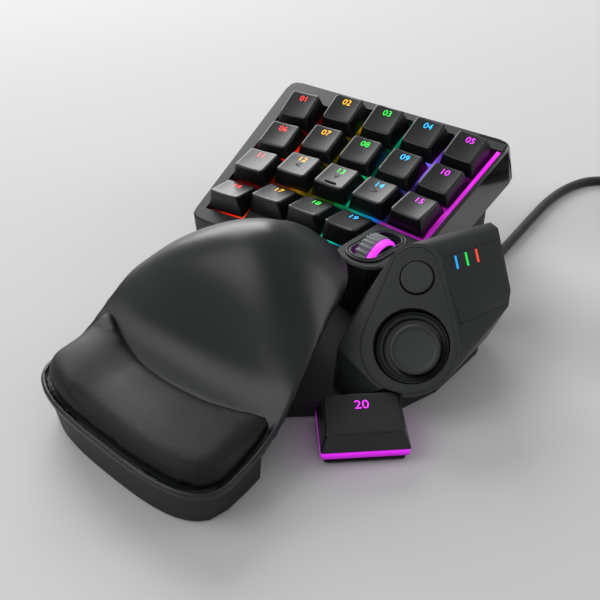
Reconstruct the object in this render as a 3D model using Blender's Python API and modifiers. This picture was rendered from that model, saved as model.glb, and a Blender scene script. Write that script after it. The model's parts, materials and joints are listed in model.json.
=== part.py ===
"""Left-hand gaming keypad: finger keys, scroll wheel, thumb module, sliding palm rest and a cable."""

import math

import bpy
import bmesh
from mathutils import Matrix, Vector

# Key field, seen along the normal of the tilted key deck
KEY_PITCH = 0.0193
COLUMN_PITCH = 0.0184
COLUMN_SPLAY_DEGREES = 2.1
COLUMN_STAGGER = (0.0058, 0.0004, 0.0, 0.0006, 0.0017)
ROWS_IN_COLUMN = (4, 4, 4, 4, 3)
MIDDLE_COLUMN = 2
LAST_COLUMN = 4
LAST_ROW = 3
ROW_DROP = (0.0, 0.0022, 0.0013, 0.0015)
ROW_LEAN_DEGREES = (9.8, 3.9, -7.2, -22.7)
DECK_TILT_DEGREES = 13.6
DECK_X = -0.0167
DECK_Y = 0.0856
DECK_Z = 0.0490

# Key caps
KEY_TOP_WIDTH = 0.0142
KEY_TOP_DEPTH = 0.0148
KEY_BASE = 0.0173
KEY_BASE_DEPTH = 0.0082
KEY_TRAVEL = 0.0035
KEY_WALL = 0.0013
KEY_ROOF = 0.0016
KEY_DISH = 0.0005
KEY_CORNER = 0.0016
KEY_BASE_CORNER = 0.0007
KEY_RIM = 0.0005
STEM_WIDTH = 0.0052
STEM_REACH = 0.0061
SEAT_GAP = 0.0003
STEM_CLEARANCE = 0.0003
TOWER_WALL = 0.0013
TOWER_HEIGHT = 0.0027
KEY_ROOM = 0.0010

# Layers under the keys
PLATE_CLEARANCE = 0.0004
PLATE_THICKNESS = 0.0016
PLATE_LAP = 0.0015
DOME_HEIGHT = 0.0006
DOME_RADIUS = 0.0034
DOME_TOP_RADIUS = 0.0024
MAT_THICKNESS = 0.0006
BOARD_THICKNESS = 0.0015
BOARD_LAP = 0.0010

# Deck frame round the keys
RIM_DROP_FAR = 0.0050
RIM_FALL_DEGREES = 1.95
RIM_CHAMFER = 0.0008
DECK_FAR = 0.0142
DECK_LEFT_FAR = 0.0592
DECK_RIGHT_FAR = 0.0557
DECK_LEFT_NEAR = 0.0494
DECK_RIGHT_NEAR = 0.0502
DECK_NEAR = 0.0745
DECK_NEAR_LEFT = 0.0805
DECK_RIGHT_CORNER = 0.0520
DECK_FLARE = 0.0016
DECK_WALL = 0.0024
DECK_CORNER = 0.0060
FLANGE_THICKNESS = 0.0015

# Glossy trim down the right side, and the lit strip between it and the keys
TRIM_START = 0.0405
TRIM_FAR = 0.0119
STRIP_WIDTH = 0.0016

# Scroll wheel in the place of a twentieth finger key, in a block that leans like the near row
WHEEL_ACROSS = 0.0016
WHEEL_ALONG = 0.0286
WHEEL_TOP = 0.0016
WHEEL_RADIUS = 0.0120
WHEEL_PROUD = 0.0036
NOSE_LEFT_NEAR = 0.0096
NOSE_LEFT_FAR = 0.0114
NOSE_RIGHT = 0.0102
NOSE_LENGTH = 0.0360
NOSE_NEAR_CORNER = 0.0080
NOSE_FAR_CORNER = 0.0010
NOSE_DROP = 0.0120
NOSE_TUCK = 0.0028
NOSE_FOOT_TUCK = 0.0015
NOSE_NARROWING = 0.0005
TYRE_WIDTH = 0.0052
RIB_COUNT = 24
RIB_HEIGHT = 0.0007
TYRE_THICKNESS = 0.0022
LIGHT_RING_WIDTH = 0.0026
LIGHT_RING_RADIUS = 0.0114
AXLE_RADIUS = 0.0012
AXLE_OVERHANG = 0.0008
CARRIER_WALL = 0.0015
CARRIER_BASE = 0.0016
CARRIER_EAR = 0.0034
WHEEL_CLICK = 0.0005
WHEEL_PLAY = 0.0004
WHEEL_ROOM = 0.0008
BEZEL_LENGTH = 0.0305
BEZEL_WIDTH = 0.0146
BEZEL_WALL = 0.0023
BEZEL_CORNER = 0.0034
BEZEL_DEPTH = 0.0040
BEZEL_PROUD = 0.0004
BOSS_REACH = 0.0096
BOSS_MARGIN = 0.0006

# Base that carries everything
FOOT_GAP = 0.0007
FOOT_RECESS = 0.0005
BASE_FLOOR = 0.0024
BASE_WALL = 0.0026
BASE_SETBACK = 0.0040
PLINTH_HEIGHT = 0.0080
BASE_LEFT = 0.0655
BASE_RIGHT = 0.0330
BASE_FAR = 0.0980
BASE_NEAR = 0.0121
BASE_CORNER = 0.0050
NECK_LEFT = 0.0292
NECK_RIGHT = 0.0245
NECK_NEAR = 0.0484
MODULE_FOOT_RIGHT = 0.0659
MODULE_FOOT_FAR = 0.0411
POST_RADIUS = 0.0030
FOOT_RADIUS = 0.0060

# Palm rest that slides on the base
PALM_X = -0.0072
PALM_NEAR = 0.1044
PALM_LENGTH = 0.1155
PALM_HALF_WIDTH = 0.0443
PALM_HEIGHT = 0.0600
PALM_SKEW_SHARE = 0.12
PALM_DOME_SHARE = 2.4
PALM_SHELL = 0.0024
PAD_INSET = 0.0036
PAD_RISE = 0.0080
PAD_SEAM_GAP = 0.0006
PAD_START = 0.0042
PAD_END = 0.0410
HEEL_INSET = 0.0015
HEEL_TAPER = 0.0017
HEEL_TOP = 0.0300
HEEL_LIP = 0.0050
RISER_WIDTH = 0.0300
RISER_LENGTH = 0.0420
RISER_HEIGHT = 0.0360
TONGUE_WIDTH = 0.0360
TONGUE_THICKNESS = 0.0032
TONGUE_REACH = 0.0950
PALM_FOOT_MARGIN = 0.0024

# Thumb module: control face, side panel and housing
FACE_X = 0.0556
FACE_Y = -0.0163
FACE_Z = 0.0260
FACE_TURN_DEGREES = 13.2
FACE_LEAN_DEGREES = 41.2
FACE_ROLL_DEGREES = 9.7
FACE_LOWER_RADIUS = 0.0166
FACE_UPPER_RADIUS = 0.0086
FACE_RIM = 0.0009
FACE_SPAN = 0.0268
FACE_THICKNESS = 0.0016
FACE_SHIFT = 0.0011
WELL_RADIUS = 0.0133
WELL_DEPTH = 0.0056
SOCKET_RADIUS = 0.0090
SOCKET_DEPTH = 0.0150
BUTTON_SPAN = 0.0241
BUTTON_RADIUS = 0.0057
BUTTON_GAP = 0.0005
BUTTON_RISE = 0.0009
BUTTON_TRAVEL = 0.0012
BUTTON_FLANGE = 0.0014
BUTTON_FLANGE_THICKNESS = 0.0014
BUTTON_POST = 0.0030
BUTTON_LENGTH = 0.0062
STICK_SHIFT_X = 0.0017
STICK_SHIFT_Y = 0.0015
STICK_RADIUS = 0.0087
STICK_RISE = 0.0032
STICK_THICKNESS = 0.0037
STICK_DISH = 0.0006
STICK_STEM = 0.0026
STICK_BALL = 0.0042
STICK_DEPTH = 0.0095
GIMBAL_RADIUS = 0.0074
GIMBAL_BORE = 0.0052
GIMBAL_THICKNESS = 0.0030
GIMBAL_PIN = 0.0011
GATE_WALL = 0.0030
GATE_THICKNESS = 0.0014
GATE_LOBES = 8
GATE_LOBE_DEPTH = 0.0009
PANEL_X = 0.0525
PANEL_Y = 0.0092
PANEL_Z = 0.0472
PANEL_HEADING_DEGREES = 61.8
PANEL_SLOPE_DEGREES = 35.0
PANEL_LENGTH = 0.0245
PANEL_DROP = 0.0250
PANEL_THICKNESS = 0.0016
RIDGE_WIDTH = 0.0077
RIDGE_FALL = 0.0033
LIGHT_BAR_LENGTH = 0.0052
LIGHT_BAR_WIDTH = 0.0011
LIGHT_BAR_PITCH = 0.0044
LIGHT_BAR_START = 0.0040
LIGHT_BAR_DROP = 0.0033
LIGHT_BAR_LEAN_DEGREES = -14.0
LIGHT_BAR_COUNT = 3
LIGHT_BAR_PLAY = 0.0001
LIGHT_BACK = 0.0010
MODULE_LEFT = 0.0323
MODULE_NEAR = 0.0339
MODULE_WIDTH = 0.0420
MODULE_DEPTH = 0.0720
MODULE_HEIGHT = 0.0500

# Wide thumb key
THUMB_KEY_X = 0.0527
THUMB_KEY_Y = 0.0424
THUMB_KEY_TURN_DEGREES = 38.5
THUMB_KEY_WIDTH = 0.0302
THUMB_KEY_DEPTH = 0.0215
THUMB_KEY_TOP_WIDTH = 0.0268
THUMB_KEY_TOP_DEPTH = 0.0180
THUMB_KEY_HEIGHT = 0.0138
THUMB_KEY_LEAN_DEGREES = 5.0
THUMB_KEY_SKIRT = 0.0066
THUMB_KEY_TRAVEL = 0.0019
THUMB_KEY_ROOF = 0.0020
THUMB_KEY_ROOM = 0.0008
BAND_BOTTOM = 0.0038
BAND_WALL = 0.0015
THUMB_STEM_WIDTH = 0.0120
THUMB_STEM_DEPTH = 0.0050
TAB_THICKNESS = 0.0009
TAB_INSET = 0.0012
PEDESTAL_HEIGHT = 0.0078

# Cable, its coil and its plug
CABLE_DIAMETER = 0.0040
CABLE_REST = 0.0001
GLAND_X = 0.0458
GLAND_LENGTH = 0.0110
GLAND_RADIUS = 0.0032
GLAND_TIP_RADIUS = 0.0026
GLAND_FLANGE_RADIUS = 0.0036
GLAND_FLANGE = 0.0016
COIL_INNER_RADIUS = 0.0142
COIL_PITCH = 0.0046
COIL_LAYERS = 4
COIL_LAYER_TURNS_SHARE = 3.35
COIL_CLIMB_TURNS_SHARE = 0.25
COIL_POINTS_PER_TURN = 23
COIL_X = 0.1028
COIL_Y = 0.1571
COIL_START_DEGREES = 120.0
LEAD_STEP = 0.0080
TAIL_STEP = 0.0060
PLUG_X = 0.1158
PLUG_Y = 0.0840
PLUG_LENGTH = 0.0300
PLUG_WIDTH = 0.0150
PLUG_HEIGHT = 0.0076
PLUG_NECK_LENGTH = 0.0080
PLUG_NECK_RADIUS = 0.0030
PLUG_NECK_TIP_RADIUS = 0.0026
PLUG_BEVEL = 0.0012
PLUG_SHELL_LENGTH = 0.0185
PLUG_SHELL_INSIDE = 0.0065
PLUG_SHELL_WIDTH = 0.0120
PLUG_SHELL_HEIGHT = 0.0045
PLUG_SHELL_WALL = 0.0006

# Shared modelling values
OVERRUN = 0.0100
MERGE_DISTANCE = 0.00001
ARC_STEPS = 3
ROUND_STEPS = 32
SMALL_ROUND_STEPS = 20
PIN_STEPS = 12
SMOOTH_ANGLE = math.radians(35)
NEARLY_STRAIGHT = math.radians(168)


def clear_scene():
    for item in list(bpy.data.objects):
        bpy.data.objects.remove(item, do_unlink=True)


def new_collection(name):
    made = bpy.data.collections.new(name)
    bpy.context.scene.collection.children.link(made)
    return made


clear_scene()
PARTS = new_collection("gaming_keypad")
CUTTERS = new_collection("cutters")


def make_material(name, colour, roughness, metallic=0.0, glow=0.0):
    made = bpy.data.materials.new(name)
    made.use_nodes = True
    shader = made.node_tree.nodes["Principled BSDF"]
    shader.inputs["Base Color"].default_value = (*colour, 1.0)
    shader.inputs["Roughness"].default_value = roughness
    shader.inputs["Metallic"].default_value = metallic
    if glow:
        shader.inputs["Emission Color"].default_value = (*colour, 1.0)
        shader.inputs["Emission Strength"].default_value = glow
    made.diffuse_color = (*colour, 1.0)
    return made


MATTE_BLACK = make_material("matte_black_abs", (0.012, 0.014, 0.016), 0.55)
SATIN_GREY = make_material("satin_grey_abs", (0.030, 0.036, 0.040), 0.50)
GLOSS_BLACK = make_material("gloss_black_abs", (0.006, 0.006, 0.008), 0.12)
KEY_BLACK = make_material("key_cap_abs", (0.016, 0.019, 0.021), 0.42)
LIT_PLASTIC = make_material("light_guide_acrylic", (0.75, 0.10, 0.85), 0.30, glow=1.0)
RUBBER = make_material("black_rubber", (0.012, 0.012, 0.012), 0.85)
SILICONE = make_material("dome_silicone", (0.55, 0.56, 0.55), 0.60)
BOARD_GREEN = make_material("circuit_board_laminate", (0.02, 0.16, 0.07), 0.45)
LEATHERETTE = make_material("black_leatherette", (0.018, 0.020, 0.024), 0.60)
BRAID = make_material("braided_sleeve", (0.015, 0.016, 0.016), 0.80)
STEEL = make_material("bright_steel", (0.62, 0.62, 0.63), 0.30, metallic=1.0)


def new_object(name, data, frame=None, cutter=False):
    """Links data as an object; frame is the empty that it is placed by."""
    made = bpy.data.objects.new(name, data)
    (CUTTERS if cutter else PARTS).objects.link(made)
    if frame is not None:
        made.parent = frame
    if cutter:
        made.hide_render = True
        made.display_type = "WIRE"
    return made


def finish(item, material):
    item.data.materials.clear()
    item.data.materials.append(material)
    item.data.shade_smooth()
    item.data.set_sharp_from_angle(angle=SMOOTH_ANGLE)
    return item


def new_frame(name, matrix):
    made = bpy.data.objects.new(name, None)
    PARTS.objects.link(made)
    made.matrix_world = matrix
    return made


def boolean(item, cutter, operation="DIFFERENCE"):
    modifier = item.modifiers.new(cutter.name, "BOOLEAN")
    modifier.operation = operation
    modifier.object = cutter
    modifier.solver = "EXACT"


def evaluated_mesh(item):
    """The mesh that an object's curve or modifiers make."""
    bpy.context.view_layer.update()
    graph = bpy.context.evaluated_depsgraph_get()
    return bpy.data.meshes.new_from_object(item.evaluated_get(graph))


def mesh_from(edit, name):
    bmesh.ops.recalc_face_normals(edit, faces=edit.faces)
    mesh = bpy.data.meshes.new(name)
    edit.to_mesh(mesh)
    edit.free()
    return mesh


def loft(name, rings, frame=None, cutter=False):
    """Joins a stack of unlike rings, each with the same count of points, into one solid."""
    edit = bmesh.new()
    rows = [[edit.verts.new(point) for point in ring] for ring in rings]
    for lower, upper in zip(rows, rows[1:]):
        for index in range(len(lower)):
            after = (index + 1) % len(lower)
            edit.faces.new((lower[index], lower[after], upper[after], upper[index]))
    bmesh.ops.triangulate(edit, faces=edit.faces[:])
    edit.faces.new(list(reversed(rows[0])))
    edit.faces.new(rows[-1])
    return new_object(name, mesh_from(edit, name), frame, cutter)


def plate(name, outlines, low, high, frame=None, cutter=False):
    """Flat outlines, the inner ones as holes, given a thickness between two heights."""
    curve = bpy.data.curves.new(name + "_outline", "CURVE")
    curve.dimensions = "2D"
    curve.fill_mode = "BOTH"
    curve.extrude = (high - low) / 2
    for outline in outlines:
        spline = curve.splines.new("POLY")
        spline.points.add(len(outline) - 1)
        for target, point in zip(spline.points, outline):
            target.co = (point.x, point.y, 0.0, 1.0)
        spline.use_cyclic_u = True
    guide = new_object(name + "_outline", curve, None, True)
    mesh = evaluated_mesh(guide)
    bpy.data.objects.remove(guide, do_unlink=True)
    edit = bmesh.new()
    edit.from_mesh(mesh)
    bpy.data.meshes.remove(mesh)
    bmesh.ops.remove_doubles(edit, verts=edit.verts, dist=MERGE_DISTANCE)
    bmesh.ops.translate(edit, verts=edit.verts, vec=(0.0, 0.0, (low + high) / 2))
    return new_object(name, mesh_from(edit, name), frame, cutter)


def block(name, width, depth, low, high, frame=None, cutter=False, x=0.0, y=0.0):
    edit = bmesh.new()
    size = Matrix.Diagonal((width, depth, high - low, 1.0))
    bmesh.ops.create_cube(edit, size=1.0, matrix=Matrix.Translation((x, y, (low + high) / 2)) @ size)
    return new_object(name, mesh_from(edit, name), frame, cutter)


def cylinder(name, radius, low, high, frame=None, cutter=False, x=0.0, y=0.0, steps=ROUND_STEPS):
    edit = bmesh.new()
    bmesh.ops.create_cone(
        edit,
        cap_ends=True,
        segments=steps,
        radius1=radius,
        radius2=radius,
        depth=high - low,
        matrix=Matrix.Translation((x, y, (low + high) / 2)),
    )
    return new_object(name, mesh_from(edit, name), frame, cutter)


def turned(name, profile, steps, frame=None, cutter=False, closed=False):
    """Turns a profile of (radius, height) points, listed from the top down, about Z."""
    mesh = bpy.data.meshes.new(name)
    points = [(radius, 0.0, height) for radius, height in profile]
    edges = [(index, index + 1) for index in range(len(points) - 1)]
    if closed:
        edges.append((len(points) - 1, 0))
    mesh.from_pydata(points, edges, [])
    item = new_object(name, mesh, frame, cutter)
    screw = item.modifiers.new("turn", "SCREW")
    screw.steps = steps
    screw.render_steps = steps
    screw.use_merge_vertices = True
    screw.merge_threshold = MERGE_DISTANCE
    return item


def rounded(corners, radii, steps=ARC_STEPS):
    """Rounds the corners of an outline, all by one radius or each by its own."""
    points = []
    count = len(corners)
    if not isinstance(radii, (tuple, list)):
        radii = [radii] * count
    for index, corner in enumerate(corners):
        corner = Vector(corner)
        before = Vector(corners[index - 1]) - corner
        after = Vector(corners[(index + 1) % count]) - corner
        half_angle = before.angle(after) / 2
        if half_angle > NEARLY_STRAIGHT / 2:
            points.append(corner)
            continue
        reach = min(radii[index] / math.tan(half_angle), before.length / 2, after.length / 2)
        start = corner + before.normalized() * reach
        end = corner + after.normalized() * reach
        for step in range(steps + 1):
            share = step / steps
            first = start.lerp(corner, share)
            second = corner.lerp(end, share)
            points.append(first.lerp(second, share))
    return points


def inset(outline, distance):
    """Moves each side of a counterclockwise outline inwards by a distance."""
    moved = []
    count = len(outline)
    for index, point in enumerate(outline):
        before = (point - outline[index - 1]).normalized()
        after = (outline[(index + 1) % count] - point).normalized()
        normal = Vector((-before.y - after.y, before.x + after.x))
        normal.normalize()
        spread = max(normal.dot(Vector((-before.y, before.x))), 0.5)
        moved.append(point + normal * distance / spread)
    return moved


def rise(outline, height):
    """Lifts a flat outline to a height, or to a height that depends on the point."""
    if callable(height):
        return [Vector((point.x, point.y, height(point))) for point in outline]
    return [Vector((point.x, point.y, height)) for point in outline]


def rectangle(width, depth, x=0.0, y=0.0):
    half_width = width / 2
    half_depth = depth / 2
    return [
        Vector((x - half_width, y - half_depth)),
        Vector((x + half_width, y - half_depth)),
        Vector((x + half_width, y + half_depth)),
        Vector((x - half_width, y + half_depth)),
    ]


def circle(radius, steps=ROUND_STEPS, x=0.0, y=0.0):
    turn = 2 * math.pi / steps
    return [
        Vector((x + radius * math.cos(turn * step), y + radius * math.sin(turn * step)))
        for step in range(steps)
    ]


def stadium(length, width, steps=8):
    """An outline with round ends, long along Y."""
    radius = width / 2
    straight = length / 2 - radius
    points = []
    for step in range(2 * steps + 2):
        upper = step <= steps
        angle = math.pi * (step if upper else step - 1) / steps
        y = straight if upper else -straight
        points.append(Vector((radius * math.cos(angle), y + radius * math.sin(angle))))
    return points


# Heights in the deck's own frame, from the top of a far-row key down
KEY_FLOOR = -KEY_BASE_DEPTH
PLATE_TOP = KEY_FLOOR - KEY_TRAVEL - PLATE_CLEARANCE
PLATE_UNDERSIDE = PLATE_TOP - PLATE_THICKNESS
CAVITY_TOP = PLATE_TOP + SEAT_GAP
STEM_END = KEY_FLOOR - STEM_REACH
DOME_TOP = STEM_END - KEY_TRAVEL - SEAT_GAP
MAT_TOP = DOME_TOP - DOME_HEIGHT
MAT_UNDERSIDE = MAT_TOP - MAT_THICKNESS
BOARD_TOP = MAT_UNDERSIDE - SEAT_GAP
BOARD_UNDERSIDE = BOARD_TOP - BOARD_THICKNESS
BASE_TOP = BOARD_UNDERSIDE - SEAT_GAP
DECK_UNDERSIDE = BASE_TOP - FLANGE_THICKNESS


def column_matrix(column):
    """The frame of one key column, whose Y runs along it from its nearest row."""
    splay = math.radians(COLUMN_SPLAY_DEGREES) * (column - MIDDLE_COLUMN)
    place = Vector(((column - MIDDLE_COLUMN) * COLUMN_PITCH, -LAST_ROW * KEY_PITCH, 0.0))
    return Matrix.Translation(place) @ Matrix.Rotation(-splay, 4, "Z")


def key_along(column, row):
    return (LAST_ROW - row) * KEY_PITCH - COLUMN_STAGGER[column]


def nearest_key(column):
    return key_along(column, ROWS_IN_COLUMN[column] - 1)


def column_point(column, across, along):
    point = column_matrix(column) @ Vector((across, along, 0.0))
    return Vector((point.x, point.y))


# Frames of the key deck, the wheel, the thumb face, the side panel, the thumb key and the palm rest
DECK_MATRIX = (
    Matrix.Translation((DECK_X, DECK_Y, DECK_Z))
    @ Matrix.Rotation(math.radians(DECK_TILT_DEGREES), 4, "X")
)
NOSE_IN_DECK = (
    column_matrix(LAST_COLUMN)
    @ Matrix.Translation((WHEEL_ACROSS, nearest_key(LAST_COLUMN) - WHEEL_ALONG, WHEEL_TOP))
    @ Matrix.Rotation(math.radians(ROW_LEAN_DEGREES[LAST_ROW]), 4, "X")
)
WHEEL_MATRIX = DECK_MATRIX @ NOSE_IN_DECK @ Matrix.Translation((0.0, 0.0, WHEEL_PROUD - WHEEL_RADIUS))
FACE_MATRIX = (
    Matrix.Translation((FACE_X, FACE_Y, FACE_Z))
    @ Matrix.Rotation(math.radians(FACE_TURN_DEGREES), 4, "Z")
    @ Matrix.Rotation(math.radians(FACE_LEAN_DEGREES), 4, "X")
    @ Matrix.Rotation(math.radians(FACE_ROLL_DEGREES), 4, "Z")
)
STICK_MATRIX = FACE_MATRIX @ Matrix.Translation((STICK_SHIFT_X, -STICK_SHIFT_Y, -STICK_DEPTH))
PANEL_MATRIX = (
    Matrix.Translation((PANEL_X, PANEL_Y, PANEL_Z))
    @ Matrix.Rotation(math.radians(PANEL_HEADING_DEGREES), 4, "Z")
    @ Matrix.Rotation(math.radians(PANEL_SLOPE_DEGREES), 4, "X")
)
THUMB_KEY_MATRIX = (
    Matrix.Translation((THUMB_KEY_X, -THUMB_KEY_Y, 0.0))
    @ Matrix.Rotation(math.radians(THUMB_KEY_TURN_DEGREES), 4, "Z")
)
DECK = new_frame("deck_plane", DECK_MATRIX)
NOSE = new_frame("wheel_block_plane", DECK_MATRIX @ NOSE_IN_DECK)
WHEEL = new_frame("wheel_centre", WHEEL_MATRIX)
FACE = new_frame("thumb_face_plane", FACE_MATRIX)
STICK = new_frame("stick_pivot", STICK_MATRIX)
PANEL = new_frame("side_panel_plane", PANEL_MATRIX)
THUMB_KEY = new_frame("thumb_key_plane", THUMB_KEY_MATRIX)
PALM = new_frame("palm_rest_slide", Matrix.Translation((PALM_X, -PALM_NEAR, 0.0)))


def well_outline(room, strip_room=0.0):
    """The outline round the key bases: each step follows the side of the column that reaches further."""
    half = KEY_BASE / 2 + room
    columns = range(LAST_COLUMN + 1)
    extra = [strip_room if column == LAST_COLUMN else 0.0 for column in columns]
    near = [nearest_key(column) - half - extra[column] for column in columns]
    far = [key_along(column, 0) + half for column in columns]
    points = []
    for column in columns:
        if column > 0 and near[column - 1] < near[column]:
            points.append(column_point(column - 1, half, near[column]))
        else:
            points.append(column_point(column, -half, near[column]))
        if column < LAST_COLUMN and near[column + 1] < near[column]:
            points.append(column_point(column + 1, -half, near[column]))
        else:
            points.append(column_point(column, half + extra[column], near[column]))
    for column in reversed(columns):
        if column < LAST_COLUMN and far[column + 1] > far[column]:
            points.append(column_point(column + 1, -half, far[column]))
        else:
            points.append(column_point(column, half + extra[column], far[column]))
        if column > 0 and far[column - 1] > far[column]:
            points.append(column_point(column - 1, half, far[column]))
        else:
            points.append(column_point(column, -half, far[column]))
    return points


def deck_outline():
    """The outline of the deck frame at its rim, counterclockwise from the near left."""
    nose_near = nearest_key(LAST_COLUMN) - WHEEL_ALONG - NOSE_LENGTH / 2 + NOSE_TUCK
    nose_left = column_point(LAST_COLUMN, WHEEL_ACROSS - NOSE_LEFT_NEAR, nose_near)
    nose_right = column_point(LAST_COLUMN, WHEEL_ACROSS + NOSE_RIGHT, nose_near)
    corners = [
        (-DECK_LEFT_NEAR, -DECK_NEAR_LEFT),
        (-DECK_LEFT_NEAR + COLUMN_PITCH + DECK_WALL, -DECK_NEAR_LEFT),
        (-DECK_LEFT_NEAR + COLUMN_PITCH + DECK_WALL + COLUMN_STAGGER[0], -DECK_NEAR),
        (nose_left.x - NOSE_TUCK, -DECK_NEAR),
        (nose_left.x, nose_left.y),
        (nose_right.x, nose_right.y),
        (DECK_RIGHT_NEAR, -DECK_RIGHT_CORNER),
        (DECK_RIGHT_FAR, DECK_FAR),
        (-DECK_LEFT_FAR, DECK_FAR),
    ]
    return rounded(corners, DECK_CORNER)


def rim_height(point):
    return -RIM_DROP_FAR - (DECK_FAR - point.y) * math.tan(math.radians(RIM_FALL_DEGREES))


def trim_region(gap):
    """The strip at the right and far right that belongs to the glossy trim."""
    across = KEY_BASE / 2 + KEY_ROOM + 2 * SEAT_GAP + STRIP_WIDTH - gap
    near = column_point(LAST_COLUMN, across, 0.0)
    far = column_point(LAST_COLUMN, across, LAST_ROW * KEY_PITCH)
    slope = (far.x - near.x) / (far.y - near.y)
    near_y = -DECK_RIGHT_CORNER - gap
    far_y = TRIM_FAR - gap
    reach = DECK_RIGHT_FAR + OVERRUN
    return [
        Vector((near.x + (near_y - near.y) * slope, near_y)),
        Vector((reach, near_y)),
        Vector((reach, DECK_FAR + OVERRUN)),
        Vector((TRIM_START - gap, DECK_FAR + OVERRUN)),
        Vector((TRIM_START - gap, far_y)),
        Vector((near.x + (far_y - near.y) * slope, far_y)),
    ]


def deck_slab(name):
    outline = deck_outline()
    flared = inset(outline, -DECK_FLARE)
    shoulder = [Vector((p.x, p.y, rim_height(p) - RIM_CHAMFER)) for p in outline]
    top = inset(outline, RIM_CHAMFER)
    return loft(name, [rise(flared, DECK_UNDERSIDE), shoulder, rise(top, rim_height)], DECK)


def wheel_block():
    """The block that carries the wheel: its top leans like the near row, its front tucks under."""
    half = NOSE_LENGTH / 2
    corners = [(-NOSE_LEFT_NEAR, -half), (NOSE_RIGHT, -half), (NOSE_RIGHT, half), (-NOSE_LEFT_FAR, half)]
    radii = (NOSE_NEAR_CORNER, NOSE_NEAR_CORNER, NOSE_FAR_CORNER, NOSE_FAR_CORNER)
    outline = rounded(corners, radii)
    tucked = [point + Vector((0.0, NOSE_TUCK)) for point in inset(outline, NOSE_NARROWING)]
    top = rise(inset(outline, RIM_CHAMFER), 0.0)
    edge = rise(outline, -RIM_CHAMFER)
    waist = rise(tucked, -NOSE_DROP)
    in_deck = [[NOSE_IN_DECK @ point for point in ring] for ring in (waist, edge, top)]
    foot = [
        Vector((point.x, point.y + NOSE_FOOT_TUCK, DECK_UNDERSIDE + RIM_CHAMFER))
        for point in in_deck[1]
    ]
    return loft("wheel_block", [foot] + in_deck, DECK, True)


def wheel_half_width():
    return (TYRE_WIDTH + SEAT_GAP + LIGHT_RING_WIDTH) / 2


def carrier_half_width():
    return wheel_half_width() + WHEEL_PLAY + CARRIER_WALL


def carrier_underside():
    return -WHEEL_RADIUS - WHEEL_PLAY - CARRIER_BASE


def make_deck_frame():
    """Grey surround: an open-bottomed shell with the key well and the wheel's block."""
    frame = deck_slab("deck_frame")
    boolean(frame, wheel_block(), "UNION")
    cavity = inset(deck_outline(), DECK_WALL)
    boolean(frame, plate("deck_cavity", [cavity], DECK_UNDERSIDE - OVERRUN, CAVITY_TOP, DECK, True))
    well = well_outline(KEY_ROOM, STRIP_WIDTH + 2 * SEAT_GAP)
    boolean(frame, plate("key_well", [well], CAVITY_TOP - OVERRUN, OVERRUN, DECK, True))
    region = trim_region(SEAT_GAP)
    boolean(frame, plate("trim_room", [region], DECK_UNDERSIDE - OVERRUN, OVERRUN, DECK, True))

    seat = stadium(BEZEL_LENGTH + 2 * SEAT_GAP, BEZEL_WIDTH + 2 * SEAT_GAP)
    boolean(frame, plate("bezel_seat", [seat], -BEZEL_DEPTH - SEAT_GAP, OVERRUN, NOSE, True))
    room_half = carrier_half_width() + AXLE_OVERHANG + SEAT_GAP
    disc = cylinder("wheel_room", WHEEL_RADIUS + WHEEL_ROOM, -room_half, room_half, WHEEL, True)
    disc.rotation_euler = (0.0, math.pi / 2, 0.0)
    boolean(frame, disc)
    shaft_depth = 2 * (CARRIER_EAR + WHEEL_ROOM)
    shaft_low = carrier_underside() - BOSS_REACH - OVERRUN
    boolean(frame, block("carrier_room", 2 * room_half, shaft_depth, shaft_low, 0.0, WHEEL, True))
    return finish(frame, SATIN_GREY)


def make_side_trim():
    """Glossy wall down the right side and round the far right corner."""
    trim = deck_slab("side_trim")
    region = plate("trim_region", [trim_region(0.0)], DECK_UNDERSIDE - OVERRUN, OVERRUN, DECK, True)
    boolean(trim, region, "INTERSECT")
    return finish(trim, GLOSS_BLACK)


def make_light_strip():
    """Clear strip along the last column's right and near sides, lit from below."""
    inner = KEY_BASE / 2 + KEY_ROOM + SEAT_GAP
    outer = inner + STRIP_WIDTH
    far = key_along(LAST_COLUMN, 0) + KEY_BASE / 2
    near = nearest_key(LAST_COLUMN)
    corners = [
        column_point(LAST_COLUMN, -inner, near - outer),
        column_point(LAST_COLUMN, outer, near - outer),
        column_point(LAST_COLUMN, outer, far),
        column_point(LAST_COLUMN, inner, far),
        column_point(LAST_COLUMN, inner, near - inner),
        column_point(LAST_COLUMN, -inner, near - inner),
    ]
    low = rise(corners, PLATE_TOP + SEAT_GAP)
    return finish(loft("edge_light_strip", [low, rise(corners, rim_height)], DECK), LIT_PLASTIC)


def each_key():
    for column, rows in enumerate(ROWS_IN_COLUMN):
        for row in range(rows):
            yield column_matrix(column) @ Matrix.Translation((0.0, key_along(column, row), 0.0))


def key_squares(name, width, low, high):
    """One square prism at each finger key, all in one mesh."""
    edit = bmesh.new()
    size = Matrix.Diagonal((width, width, high - low, 1.0))
    lift = Matrix.Translation((0.0, 0.0, (low + high) / 2))
    for place in each_key():
        bmesh.ops.create_cube(edit, size=1.0, matrix=place @ lift @ size)
    return new_object(name, mesh_from(edit, name), DECK, True)


def make_guide_plate():
    """Moulded plate whose towers guide the key stems."""
    sheet = plate("key_guide_plate", [well_outline(PLATE_LAP)], PLATE_UNDERSIDE, PLATE_TOP, DECK)
    bore = STEM_WIDTH + 2 * STEM_CLEARANCE
    middle = (PLATE_UNDERSIDE + PLATE_TOP) / 2
    tower = bore + 2 * TOWER_WALL
    boolean(sheet, key_squares("key_towers", tower, middle, PLATE_TOP + TOWER_HEIGHT), "UNION")
    boolean(sheet, key_squares("stem_bores", bore, PLATE_UNDERSIDE - OVERRUN, PLATE_TOP + OVERRUN))
    return finish(sheet, MATTE_BLACK)


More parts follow.
